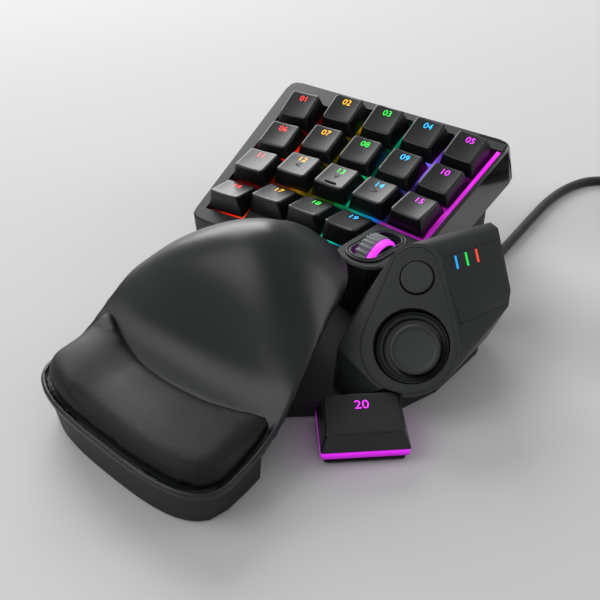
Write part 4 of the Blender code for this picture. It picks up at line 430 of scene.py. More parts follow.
def leatherette():
    # Polyurethane leatherette: pebbled cells about a millimetre across, satin, with softer creases; the grooves
    # between the pebbles are painted darker than their domes, a painted shade
    made, tree, shader, place = start_material("pebbled_leatherette", "#17191b", 0.48)
    bent = add_node(tree, "ShaderNodeTexNoise", {"Vector": place, "Scale": 0.5 / (2.5 * MM), "Detail": 2.0})
    shifted = add_node(tree, "ShaderNodeVectorMath", {0: bent.outputs["Color"], "Scale": 0.6 * MM}, operation="SCALE")
    moved = add_node(tree, "ShaderNodeVectorMath", {0: place, 1: shifted.outputs["Vector"]}, operation="ADD")
    spacing = {"Vector": moved.outputs["Vector"], "Scale": 1.0 / (0.9 * MM)}
    cells = add_node(tree, "ShaderNodeTexVoronoi", spacing, feature="DISTANCE_TO_EDGE")
    domes = add_node(tree, "ShaderNodeMapRange", {"Value": cells.outputs["Distance"], "From Max": 0.22})
    pebble = domes.outputs["Result"]
    worn = add_node(tree, "ShaderNodeTexNoise", {"Vector": place, "Scale": 0.5 / (9 * MM), "Detail": 5.0})
    creases = worn.outputs["Fac"]
    fine = add_node(tree, "ShaderNodeBump", {"Height": pebble, "Strength": 0.45, "Distance": 0.05 * MM})
    folds = {"Height": creases, "Strength": 0.5, "Distance": 0.5 * MM, "Normal": fine.outputs["Normal"]}
    broad = add_node(tree, "ShaderNodeBump", folds)
    # Painted shade: the grooves between the pebbles are coloured darker than the domes
    shades = {"Factor": pebble, "A": linear("#08090a"), "B": linear("#121416")}
    tint = add_node(tree, "ShaderNodeMix", shades, data_type="RGBA")
    shine = add_node(tree, "ShaderNodeMapRange", {"Value": creases, "To Min": 0.46, "To Max": 0.62})
    feed(shader, {
        "Base Color": tint.outputs["Result"],
        "Roughness": shine.outputs["Result"],
        "Normal": broad.outputs["Normal"],
        "Specular IOR Level": 0.30,
    })
    return made


def braided_nylon():
    # Woven nylon sleeve: fine crossing bundles, read from the cord's own map so that they follow it; the bundles are
    # lighter and the gaps between them painted darker, a painted shade
    cord_map = ("ShaderNodeUVMap", "UV")
    made, tree, shader, place = start_material("braided_nylon_sleeve", "#161718", 0.62, source=cord_map)
    waves = []
    for lean in (math.radians(45), math.radians(-45)):
        turn = add_node(tree, "ShaderNodeMapping", {"Vector": place, "Rotation": (0.0, 0.0, lean)})
        bundles = {"Vector": turn.outputs["Vector"], "Scale": 2.6, "Distortion": 0.0}
        waves.append(add_node(tree, "ShaderNodeTexWave", bundles))
    pair = {0: waves[0].outputs["Fac"], 1: waves[1].outputs["Fac"]}
    woven = add_node(tree, "ShaderNodeMath", pair, operation="MAXIMUM").outputs["Value"]
    # Painted shade: the gaps between the crossing bundles are coloured darker than the bundles
    shades = {"Factor": woven, "A": linear("#090a0a"), "B": linear("#232527")}
    tint = add_node(tree, "ShaderNodeMix", shades, data_type="RGBA")
    relief = add_node(tree, "ShaderNodeBump", {"Height": woven, "Strength": 0.7, "Distance": 0.15 * MM})
    feed(shader, {"Base Color": tint.outputs["Result"], "Normal": relief.outputs["Normal"], "Sheen Weight": 0.15})
    return made


def circuit_laminate():
    # Glass-epoxy laminate under green solder mask, with copper tracks showing through
    made, tree, shader, place = start_material("solder_mask_laminate", "#0e3b22", 0.30)
    tracks = add_node(tree, "ShaderNodeTexBrick", {
        "Vector": place, "Scale": 1.0 / (9 * MM), "Mortar Size": 0.05, "Mortar Smooth": 0.1,
        "Color1": linear("#0e3b22"), "Color2": linear("#0c351e"), "Mortar": linear("#2a6a3c"),
    })
    feed(shader, {"Base Color": tracks.outputs["Color"]})
    return made


def backlit_plate():
    # Frosted polycarbonate lit from below: the colours run into each other from column to column
    made, tree, shader, place = start_material("backlit_polycarbonate", "#2a2a2c", 0.5)
    split = add_node(tree, "ShaderNodeSeparateXYZ", {"Vector": place})
    reach = {"Value": split.outputs["X"], "From Min": -66 * MM, "From Max": 32 * MM}
    across = add_node(tree, "ShaderNodeMapRange", reach)
    ramp = add_node(tree, "ShaderNodeValToRGB", {"Fac": across.outputs["Result"]}, PLATE_STOPS)
    pools = add_node(tree, "ShaderNodeTexNoise", {"Vector": place, "Scale": 0.5 / (9 * MM), "Detail": 1.0})
    swing = {"Value": pools.outputs["Fac"], "From Min": 0.50, "From Max": 0.68, "To Min": 0.06, "To Max": 0.95}
    glow = add_node(tree, "ShaderNodeMapRange", swing)
    feed(shader, {"Emission Color": ramp.outputs["Color"], "Emission Strength": glow.outputs["Result"]})
    return made


def status_windows():
    # Clear polycarbonate light pipe with three lit windows along it: blue, green and amber
    made, tree, shader, place = start_material("status_light_pipe", "#d8dde0", 0.25)
    way = Vector((math.cos(PANEL_HEADING), math.sin(PANEL_HEADING), 0.0))
    along = add_node(tree, "ShaderNodeVectorMath", {0: place, 1: tuple(way)}, operation="DOT_PRODUCT")
    start = PANEL_START.dot(way)
    span = {"Value": along.outputs["Value"], "From Min": start + 1.8 * MM, "From Max": start + 15.0 * MM}
    run = add_node(tree, "ShaderNodeMapRange", span)
    ramp = add_node(tree, "ShaderNodeValToRGB", {"Fac": run.outputs["Result"]}, STATUS_STOPS)
    ramp.color_ramp.interpolation = "CONSTANT"
    colours = ramp.outputs["Color"]
    feed(shader, {"Emission Color": colours, "Base Color": colours, "Emission Strength": 0.75})
    return made


def dress(material, *names):
    """Gives CAD nodes a material in place of the plain one they came with."""
    for name in names:
        materials = NODES[name].data.materials
        materials.clear()
        materials.append(material)


def soften(width, segments, angle, *names):
    """Rounds the hard edges of CAD nodes as a mould does, without touching their own mesh."""
    for name in names:
        item = NODES[name]
        item.data.shade_smooth()
        weld = item.modifiers.new("weld", "WELD")
        weld.merge_threshold = WELD
        bevel = item.modifiers.new("moulded_edge", "BEVEL")
        bevel.width = width
        bevel.segments = segments
        bevel.limit_method = "ANGLE"
        bevel.angle_limit = math.radians(angle)
        bevel.use_clamp_overlap = True
        bevel.miter_outer = "MITER_ARC"
        normals = item.modifiers.new("flat_faces", "WEIGHTED_NORMAL")
        normals.keep_sharp = False
        normals.weight = 60


def link_piece(name, mesh, material, body):
    """Puts a mesh into the scene as a piece that rides on a body."""
    made = bpy.data.objects.new(name, mesh)
    bpy.context.scene.collection.objects.link(made)
    made.data.materials.clear()
    made.data.materials.append(material)
    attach(made, body)
    return made


def mesh_of(edit, name, smooth_angle=None):
    """Turns an edit mesh into a mesh, smooth but for edges sharper than an angle in degrees."""
    mesh = bpy.data.meshes.new(name)
    edit.to_mesh(mesh)
    edit.free()
    if smooth_angle is not None:
        mesh.shade_smooth()
        mesh.set_sharp_from_angle(angle=math.radians(smooth_angle))
    return mesh


def mesh_from(curve):
    """The mesh of a curve or a text, which is then removed."""
    holder = bpy.data.objects.new(curve.name, curve)
    bpy.context.scene.collection.objects.link(holder)
    bpy.context.view_layer.update()
    mesh = bpy.data.meshes.new_from_object(holder.evaluated_get(bpy.context.evaluated_depsgraph_get()))
    bpy.data.objects.remove(holder, do_unlink=True)
    bpy.data.curves.remove(curve)
    return mesh


def tube_along(name, points, radius, closed=False, sides=3):
    """A round tube or bead along a line of points."""
    curve = bpy.data.curves.new(name, "CURVE")
    curve.dimensions = "3D"
    spline = curve.splines.new("POLY")
    spline.points.add(len(points) - 1)
    for target, point in zip(spline.points, points):
        target.co = (*point, 1.0)
    spline.use_cyclic_u = closed
    curve.bevel_depth = radius
    curve.bevel_resolution = sides
    curve.use_fill_caps = not closed
    mesh = mesh_from(curve)
    mesh.shade_smooth()
    return mesh


def add_box(edit, size, centre, turn=0.0):
    """Adds a closed box to an edit mesh, turned about Z and then moved."""
    made = bmesh.ops.create_cube(edit, size=1.0)["verts"]
    bmesh.ops.scale(edit, verts=made, vec=size)
    bmesh.ops.rotate(edit, verts=made, matrix=Matrix.Rotation(turn, 3, "Z"))
    bmesh.ops.translate(edit, verts=made, vec=centre)


def thicken(edit, moved):
    """Closes an open surface into a solid whose other side is given point by point."""
    grown = bmesh.ops.extrude_face_region(edit, geom=edit.faces[:])["geom"]
    for item in grown:
        if isinstance(item, bmesh.types.BMVert):
            item.co = moved(item.co)
    bmesh.ops.recalc_face_normals(edit, faces=edit.faces)


def rounded_profile(corners, radius, steps=4):
    """A profile whose inner corners are rounded; each corner is radius, height."""
    points = [corners[0]]
    for before, here, after in zip(corners, corners[1:], corners[2:]):
        middle = Vector(here)
        back = Vector(before) - middle
        ahead = Vector(after) - middle
        reach = min(radius, back.length * 0.45, ahead.length * 0.45)
        start = middle + back.normalized() * reach
        end = middle + ahead.normalized() * reach
        for step in range(steps + 1):
            t = step / steps
            points.append(tuple(start.lerp(middle, t).lerp(middle.lerp(end, t), t)))
    points.append(corners[-1])
    return points


def link_turned(name, profile, place, material, body, steps=72):
    """A lathe shape as a piece, from a profile of radius and height in millimetres."""
    edit = bmesh.new()
    chain = [edit.verts.new((radius * MM, 0.0, height * MM)) for radius, height in profile]
    edges = [edit.edges.new(pair) for pair in zip(chain, chain[1:])]
    bmesh.ops.spin(
        edit, geom=chain + edges, cent=(0.0, 0.0, 0.0), axis=(0.0, 0.0, 1.0), angle=2 * math.pi, steps=steps,
        use_merge=True,
    )
    bmesh.ops.remove_doubles(edit, verts=edit.verts, dist=WELD)
    bmesh.ops.recalc_face_normals(edit, faces=edit.faces)
    bmesh.ops.transform(edit, verts=edit.verts, matrix=place)
    return link_piece(name, mesh_of(edit, name, 40), material, body)


def stadium(length, width, steps=16):
    """An outline with round ends, long along Y."""
    radius = width / 2
    straight = length / 2 - radius
    points = []
    for step in range(2 * steps + 2):
        upper = step <= steps
        angle = math.pi * (step if upper else step - 1) / steps
        points.append((radius * math.cos(angle), (straight if upper else -straight) + radius * math.sin(angle)))
    return points


def column_place(column):
    """The frame of a column of keys on the deck."""
    aside = column - MIDDLE_COLUMN
    place = Vector((aside * COLUMN_PITCH, -LAST_ROW * KEY_PITCH, 0.0))
    return Matrix.Translation(place) @ Matrix.Rotation(-COLUMN_SPLAY * aside, 4, "Z")


def key_place(column, row):
    """The frame of a finger key, parallel to the deck."""
    along = (LAST_ROW - row) * KEY_PITCH - COLUMN_STAGGER[column]
    return DECK_PLACE @ column_place(column) @ Matrix.Translation((0.0, along, 0.0))


def key_top_place(column, row):
    """The frame in the middle of a finger key's leaning top."""
    sunk = Matrix.Translation((0.0, 0.0, -ROW_DROP[row]))
    return key_place(column, row) @ sunk @ Matrix.Rotation(ROW_LEAN[row], 4, "X")


def finger_keys():
    """Number, column and row of each finger key, counted along the rows."""
    number = 0
    for row in range(LAST_ROW + 1):
        for column in range(LAST_COLUMN + 1):
            if row < ROWS_IN_COLUMN[column]:
                number += 1
                yield number, column, row


def round_off(gap, radius):
    """How far a rounded edge has dropped at a distance in from it."""
    if gap >= radius:
        return 0.0
    return radius - math.sqrt(max(radius * radius - (radius - max(gap, 0.0)) ** 2, 0.0))


def turn_corner(x, y, size, corner):
    """Moves a point of a rectangle so that the rectangle's corners turn round."""
    over_x = abs(x) - (size[0] / 2 - corner)
    over_y = abs(y) - (size[1] / 2 - corner)
    if over_x <= 0.0 or over_y <= 0.0:
        return x, y
    share = max(over_x, over_y) / math.hypot(over_x, over_y)
    turned_x = size[0] / 2 - corner + over_x * share
    turned_y = size[1] / 2 - corner + over_y * share
    return math.copysign(turned_x, x), math.copysign(turned_y, y)


def cap_shell(top, base, corner, floor, height, lean, dish, steps):
    """A moulded cap: dished top with rounded edges, sides with draft, hollow from below."""
    edit = bmesh.new()
    bmesh.ops.create_grid(edit, x_segments=steps, y_segments=steps, size=0.5)
    share = edit.verts.layers.float_vector.new("share")
    tilt = Matrix.Translation((0.0, 0.0, height)) @ Matrix.Rotation(lean, 4, "X")
    for vert in edit.verts:
        across = math.sin(math.pi * vert.co.x) / 2
        along = math.sin(math.pi * vert.co.y) / 2
        vert[share] = (across, along, 0.0)
        x = across * top[0]
        y = along * top[1]
        edge = min(top[0] / 2 - abs(x), top[1] / 2 - abs(y))
        sink = dish * (1.0 - (2 * across) ** 2) * (1.0 - 0.35 * (2 * along) ** 2)
        x, y = turn_corner(x, y, top, corner)
        vert.co = tilt @ Vector((x, y, -sink - round_off(edge, CAP_LIP)))
    for part in (0.07, 1.0):
        rim = [item for item in edit.edges if item.is_boundary]
        grown = bmesh.ops.extrude_edge_only(edit, edges=rim)["geom"]
        for vert in grown:
            if isinstance(vert, bmesh.types.BMVert):
                across, along, _unused = vert[share]
                x, y = turn_corner(across * base[0], along * base[1], base, CAP_BASE_CORNER)
                vert.co = vert.co.lerp(Vector((x, y, floor)), part)
    bmesh.ops.recalc_face_normals(edit, faces=edit.faces)
    if max(edit.faces, key=lambda face: face.calc_center_median().z).normal.z < 0.0:
        bmesh.ops.reverse_faces(edit, faces=edit.faces)
    bmesh.ops.solidify(edit, geom=edit.faces[:], thickness=CAP_WALL)
    for vert in edit.verts:
        vert.co.z = max(vert.co.z, floor)
    return edit


def flat_text(name, words, size, weight):
    """A line of text as a thin solid mesh, centred on the origin."""
    curve = bpy.data.curves.new(name, "FONT")
    curve.body = words
    curve.size = size
    curve.offset = weight
    curve.align_x = "CENTER"
    curve.align_y = "CENTER"
    curve.extrude = MARK_DEPTH
    curve.resolution_u = 4
    mesh = mesh_from(curve)
    edit = bmesh.new()
    edit.from_mesh(mesh)
    bpy.data.meshes.remove(mesh)
    bmesh.ops.remove_doubles(edit, verts=edit.verts, dist=WELD / 2)
    return edit


def print_mark(name, words, size, forward, place, number, material, weight=0.0):
    """A mark on the top of a numbered key, dropped onto the cap so that it follows the dish."""
    edit = flat_text(name, words, size, weight)
    low = [min(vert.co[axis] for vert in edit.verts) for axis in (0, 1)]
    high = [max(vert.co[axis] for vert in edit.verts) for axis in (0, 1)]
    shift = (-(low[0] + high[0]) / 2, forward - (low[1] + high[1]) / 2, 0.0)
    bmesh.ops.translate(edit, verts=edit.verts, vec=shift)
    cap = bpy.data.objects["cap_%02d" % number]
    down = place.to_3x3() @ Vector((0.0, 0.0, -1.0))
    for vert in edit.verts:
        upper = vert.co.z > 0.0
        start = place @ Vector((vert.co.x, vert.co.y, 6 * MM))
        found, spot, _normal, _index = cap.ray_cast(start, down)
        if not found:
            raise RuntimeError("%s misses the top of its key" % name)
        vert.co = spot - down * (MARK_PROUD if upper else -MARK_PROUD)
    link_piece(name, mesh_of(edit, name), material, "key_%02d" % number)


def spline_value(before, start, end, after, t):
    """Catmull-Rom value between start and end."""
    return 0.5 * (
        2.0 * start
        + (end - before) * t
        + (2.0 * before - 5.0 * start + 4.0 * end - after) * t * t
        + (3.0 * start - before - 3.0 * end + after) * t * t * t
    )


def smooth_step(value):
    """Runs from 0 to 1 with a soft start and end."""
    value = min(max(value, 0.0), 1.0)
    return value * value * (3.0 - 2.0 * value)


def squarish(share, power=WRIST_SQUARENESS):
    """Height of a quarter of a squarish ellipse at a share of its width."""
    return max(1.0 - (1.0 - share) ** power, 0.0) ** (1.0 / power)


def palm_slope(index, k):
    """How fast a station's value changes there, weighed by the distance to its neighbours."""
    if index in (0, len(PALM_STATIONS) - 1):
        return 0.0
    before, here, after = PALM_STATIONS[index - 1:index + 2]
    back = here[0] - before[0]
    ahead = after[0] - here[0]
    return ((after[k] - here[k]) / ahead * back + (here[k] - before[k]) / back * ahead) / (back + ahead)


def palm_station(along):
    """Half width, edge height and crown height at a share of the palm rest's length, smoothly."""
    index = 0
    while index < len(PALM_STATIONS) - 2 and along > PALM_STATIONS[index + 1][0]:
        index += 1
    first, second = PALM_STATIONS[index:index + 2]
    span = second[0] - first[0]
    t = min(max((along - first[0]) / span, 0.0), 1.0)
    found = []
    for k in (1, 2, 3):
        found.append(
            first[k] * (2 * t ** 3 - 3 * t * t + 1)
            + palm_slope(index, k) * span * (t ** 3 - 2 * t * t + t)
            + second[k] * (3 * t * t - 2 * t ** 3)
            + palm_slope(index + 1, k) * span * (t ** 3 - t * t)
        )
    if along < WRIST_END:
        found[0] = min(squarish(along / WRIST_END), 1.0)
    return found


def palm_half(along):
    """Half width of the palm rest at a place along it."""
    return palm_station(along)[0] * PALM_HALF_WIDTH


def end_rows(count, length=WRIST_END):
    """Places along a rounded end that step evenly in width, so that its curve stays smooth."""
    widths = [math.sin(math.pi / 2 * step / (count + 1)) for step in range(1, count + 1)]
    return [length * (1.0 - (1.0 - wide ** WRIST_SQUARENESS) ** (1.0 / WRIST_SQUARENESS)) for wide in widths]


def palm_rows(end_count, count):
    """Places along the whole rest: close together at the wrist, then even."""
    return end_rows(end_count) + [WRIST_END + (1.0 - WRIST_END) * step / count for step in range(count + 1)]


def palm_flat(along, across, wide):
    """A point of the palm rest's plan, at a half width."""
    x = across * wide
    return Vector((x, along * PALM_LENGTH - PALM_SKEW * x * (1.0 - along), 0.0))


def palm_height(along, x, wide):
    """Height of the rest's upper skin before its edge is rounded."""
    _half, edge, crown = palm_station(along)
    dome = 1.0 - min(abs(x / wide), 1.0) ** PALM_DOME
    across = x / PALM_HALF_WIDTH
    fall = SHOULDER_FALL * smooth_step((along - SHOULDER_START) / SHOULDER_RUN)
    fall *= smooth_step((SHOULDER_SIDE - across) / SHOULDER_SPREAD)
    fall -= WRIST_LIFT * (1.0 - smooth_step(along / WRIST_LIFT_END))
    return (edge + (crown - edge) * dome) * PALM_HEIGHT - fall


def finder_of(points):
    """A finder of the nearest point of a closed outline, filled in every quarter millimetre."""
    filled = []
    for start, end in zip(points, points[1:] + points[:1]):
        count = max(int((end - start).length / (0.25 * MM)), 1)
        filled += [start.lerp(end, step / count) for step in range(count)]
    tree = KDTree(len(filled))
    for index, point in enumerate(filled):
        tree.insert(point, index)
    tree.balance()
    return tree


def palm_finder():
    """Finds how far a point of the plan lies from the palm rest's outline."""
    places = palm_rows(120, 240)
    left = [palm_flat(along, -1.0, palm_half(along)) for along in places]
    right = [palm_flat(along, 1.0, palm_half(along)) for along in places]
    far = [left[-1].lerp(right[-1], step / 12) for step in range(1, 12)]
    return finder_of(left[::-1] + right + far[::-1])


def palm_shape(columns):
    """The rest's moulded skin: rounded all round, with a recess at the wrist for the cushion."""
    rows = palm_rows(20, 64)
    finder = palm_finder()
    edit = bmesh.new()
    bmesh.ops.create_grid(edit, x_segments=columns, y_segments=len(rows) - 1, size=0.5)
    for vert in edit.verts:
        along = rows[round((vert.co.y + 0.5) * (len(rows) - 1))]
        wide = palm_half(along)
        point = palm_flat(along, math.sin(math.pi * vert.co.x), wide)
        gap = finder.find(point)[2]
        point.z = palm_height(along, point.x, wide) - round_off(gap, PALM_LIP)
        room = (pad_far(point.x / wide) - along) * PALM_LENGTH
        sunk = smooth_step((gap - 1.3 * MM) / (0.8 * MM)) * smooth_step(room / (2.0 * MM))
        point.z -= RECESS_DEPTH * sunk
        vert.co = PALM_PLACE @ point
    thicken(edit, lambda co: co - Vector((0.0, 0.0, PALM_WALL)))
    return edit


def pad_far(across):
    """Where the cushion ends towards the hump: its far edge bows towards the wrist."""
    swing = across - PAD_BOW_MIDDLE
    return PAD_BOW_START + (PAD_BOW_LEFT if swing < 0.0 else PAD_BOW_RIGHT) * swing * swing


def pad_half(along):
    """Half width of the cushion at a place along the rest."""
    half = palm_half(max(along, WRIST_END)) - PAD_RIM
    near = (along * PALM_LENGTH - PAD_RIM) / PAD_END
    if near < 1.0:
        half *= squarish(near)
    far = (PAD_FAR - along) * PALM_LENGTH / (5.0 * MM)
    if far < 1.0:
        half -= 2.8 * MM * (1.0 - squarish(far, 2.0))
    return half


def pad_reach(along, across):
    """Place along the rest of a point of the cushion, once its far edge is bowed."""
    return along + (pad_far(across) - PAD_FAR) * (along / PAD_FAR) ** 2


def pad_flat(along, across):
    """A point of the cushion's plan."""
    return palm_flat(pad_reach(along, across), across, pad_half(along))


def pad_rows(end_count=14, count=22):
    """Places along the cushion, close together at both rounded ends."""
    start = PAD_RIM / PALM_LENGTH
    middle = start + PAD_END / PALM_LENGTH
    rows = [start + row for row in end_rows(end_count, PAD_END / PALM_LENGTH)]
    return rows + [middle + (PAD_FAR - middle) * math.sin(math.pi / 2 * step / count) for step in range(count + 1)]


def cushion(columns):
    """The cushion before it is stuffed: a closed form, crowned above and flat below."""
    rows = pad_rows()
    left = [pad_flat(along, -1.0) for along in rows]
    right = [pad_flat(along, 1.0) for along in rows]
    far = [pad_flat(PAD_FAR, 1.0 - step / 20) for step in range(1, 40)]
    finder = finder_of(left[::-1] + right + far)
    edit = bmesh.new()
    bmesh.ops.create_grid(edit, x_segments=columns, y_segments=len(rows) - 1, size=0.5)
    plan = edit.verts.layers.float_vector.new("plan")
    for vert in edit.verts:
        along = rows[round((vert.co.y + 0.5) * (len(rows) - 1))]
        vert[plan] = (along, math.sin(math.pi * vert.co.x), 0.0)
    grown = bmesh.ops.extrude_face_region(edit, geom=edit.faces[:])["geom"]
    upper = {item for item in grown if isinstance(item, bmesh.types.BMVert)}
    for vert in edit.verts:
        along, across, _unused = vert[plan]
        point = pad_flat(along, across)
        reach = pad_reach(along, across)
        seat = palm_height(reach, point.x, palm_half(max(reach, 0.03))) - RECESS_DEPTH + PAD_CLEARANCE
        if vert in upper:
            gap = finder.find(point)[2]
            u = min(gap / (PAD_SHOULDER * (1.0 if across > -0.6 else 0.75)), 1.0)
            full = PAD_RISE + (PAD_FAR_RISE - PAD_RISE) * smooth_step(along / PAD_FAR * 1.6 - 0.6)
            full += PAD_LEFT_RISE * smooth_step((-0.30 - across) / 0.45)
            seat += PAD_SIDE + (RECESS_DEPTH + full - PAD_SIDE - PAD_CLEARANCE) * squarish(u, PAD_ROUNDNESS)
        vert.co = PALM_PLACE @ Vector((point.x, point.y, seat))
    bmesh.ops.recalc_face_normals(edit, faces=edit.faces)
    return edit


def heel_shape():
    """The wall of the heel, which leans in under the rim of the palm rest."""
    places = end_rows(24) + [WRIST_END + 0.015 * step for step in range(5)]
    route = [(along, -1.0) for along in reversed(places)] + [(along, 1.0) for along in places[:22]]
    edit = bmesh.new()
    bmesh.ops.create_grid(edit, x_segments=len(route) - 1, y_segments=4, size=0.5)
    for vert in edit.verts:
        along, side = route[round((vert.co.x + 0.5) * (len(route) - 1))]
        down = vert.co.y + 0.5
        wide = palm_half(along)
        point = palm_flat(along, side, max(wide - HEEL_INSET, 0.3 * MM))
        top = palm_height(along, point.x, wide) - PALM_WALL * 0.8
        point = point.lerp(HEEL_MIDDLE, HEEL_LEAN * down + HEEL_SHRINK)
        vert.co = PALM_PLACE @ Vector((point.x, point.y, top + (HEEL_FOOT - top) * down))
    middle = PALM_PLACE @ HEEL_MIDDLE
    thicken(edit, lambda co: co.lerp(Vector((middle.x, middle.y, co.z)), HEEL_WALL))
    return edit


def stuffed(item, most):
    """Swells a closed cushion by cloth under pressure, and keeps each point near where it began."""
    stage = bpy.context.scene
    begun = [vert.co.copy() for vert in item.data.vertices]
    cloth = item.modifiers.new("stuffing", "CLOTH")
    cloth.settings.quality = 6
    cloth.settings.use_pressure = True
    cloth.settings.uniform_pressure_force = 4.0
    cloth.settings.effector_weights.gravity = 0.0
    for moment in range(1, 21):
        stage.frame_set(moment)
    graph = bpy.context.evaluated_depsgraph_get()
    swollen = [vert.co.copy() for vert in item.evaluated_get(graph).data.vertices]
    item.modifiers.remove(cloth)
    stage.frame_set(1)
    for vert, start, end in zip(item.data.vertices, begun, swollen):
        move = end - start
        if move.length > most:
            move *= most / move.length
        vert.co = start + move


def smooth_route(points, step):
    """Points about a step apart along a smooth curve through the route's own points."""
    chain = [points[0] * 2 - points[1]] + points + [points[-1] * 2 - points[-2]]
    fine = []
    for index in range(1, len(chain) - 2):
        before, start, end, after = chain[index - 1:index + 3]
        pieces = max(int((end - start).length / step * 8), 8)
        fine += [spline_value(before, start, end, after, piece / pieces) for piece in range(pieces)]
    fine.append(points[-1])
    spaced = [fine[0]]
    for point in fine[1:-1]:
        if (point - spaced[-1]).length >= step:
            spaced.append(point)
    if (fine[-1] - spaced[-1]).length < step / 2:
        spaced.pop()
    spaced.append(fine[-1])
    return spaced


def coil_route():
    """Turns of the stowed cable: spirals in and out again, layer on layer."""
    points = []
    total = COIL_LAYERS * COIL_LAYER_TURNS
    outer = COIL_INNER_RADIUS + COIL_PITCH * COIL_LAYER_TURNS
    climb = COIL_CLIMB_TURNS / COIL_LAYER_TURNS
    count = round(total * COIL_POINTS_PER_TURN)
    for step in range(count + 1):
        turns = total * step / count
        layer = turns / COIL_LAYER_TURNS
        whole = min(int(layer), COIL_LAYERS - 1)
        part = layer - whole
        inward = part if whole % 2 == 0 else 1.0 - part
        radius = outer - (outer - COIL_INNER_RADIUS) * inward
        height = whole
        if part > 1.0 - climb and whole < COIL_LAYERS - 1:
            height = whole + (part - 1.0 + climb) / (2 * climb)
        if part < climb and whole > 0:
            height = whole - 0.5 + part / (2 * climb)
        angle = COIL_START - 2 * math.pi * turns
        place = Vector((radius * math.cos(angle), radius * math.sin(angle), height * COIL_PITCH))
        points.append(COIL_CENTRE + place)
    first = points[0] - points[1]
    last = points[-1] - points[-2]
    first.z = last.z = 0.0
    first.normalize()
    last.normalize()
    return [points[0] + first * CABLE_DIAMETER] + points + [points[-1] + last * CABLE_DIAMETER]


def whole_route():
    """The cable's centreline from the strain relief through its coil to the plug."""
    wound = coil_route()
    start_heading = (wound[0] - wound[1]).normalized()
    end_heading = (wound[-1] - wound[-2]).normalized()
    coil_start = wound[0] + start_heading * SEAT_GAP
    coil_end = wound[-1] + end_heading * SEAT_GAP
    lead = [GLAND_EXIT, GLAND_EXIT + Vector((0.0, CABLE_DIAMETER, 0.0))]
    lead += [Vector(point) for point in LEAD_POINTS]
    lead += [coil_start + start_heading * 2 * CABLE_DIAMETER, coil_start]
    tail = [coil_end, coil_end + end_heading * 2 * CABLE_DIAMETER]
    tail += [Vector(point) for point in TAIL_POINTS]
    tail += [PLUG_NECK_END + Vector((0.0, 2 * CABLE_DIAMETER, 0.0)), PLUG_NECK_END]
    return smooth_route(lead, 4 * MM) + wound[1:-1] + smooth_route(tail, 3 * MM)


class KEYPAD_PG_finish(bpy.types.PropertyGroup):
    legend_size: bpy.props.FloatProperty(
        name="Legend size", description="Height of the line of figures on a finger key", default=4.3 * MM,
        min=2 * MM, max=6 * MM, unit="LENGTH",
    )
    legend_glow: bpy.props.FloatProperty(
        name="Legend glow", description="How strongly the legends shine", default=1.25, min=0.0, max=10.0,
    )
    edge_glow: bpy.props.FloatProperty(
        name="Edge glow", description="How strongly the light strip shines", default=1.1, min=0.0, max=20.0,
    )
    edge_colour: bpy.props.StringProperty(
        name="Edge colour", description="Colour of the edge light, as sRGB hex", default="#d41cd8",
    )


class KEYPAD_PG_stage(bpy.types.PropertyGroup):
    floor_colour: bpy.props.StringProperty(
        name="Floor colour", description="Colour of the floor, as sRGB hex", default="#dcdcdc",
    )
    key_power: bpy.props.FloatProperty(
        name="Key light", description="Power of the large soft lamp in watts", default=18.0, min=0.0, max=100.0,
    )
    fill_power: bpy.props.FloatProperty(
        name="Fill light", description="Power of the second soft lamp in watts", default=5.0, min=0.0, max=100.0,
    )
    rim_power: bpy.props.FloatProperty(
        name="Rim light", description="Power of the low soft lamp behind, in watts", default=3.0, min=0.0, max=100.0,
    )
    sky_strength: bpy.props.FloatProperty(
        name="Sky", description="Strength of the even light from all round", default=0.40, min=0.0, max=2.0,
    )


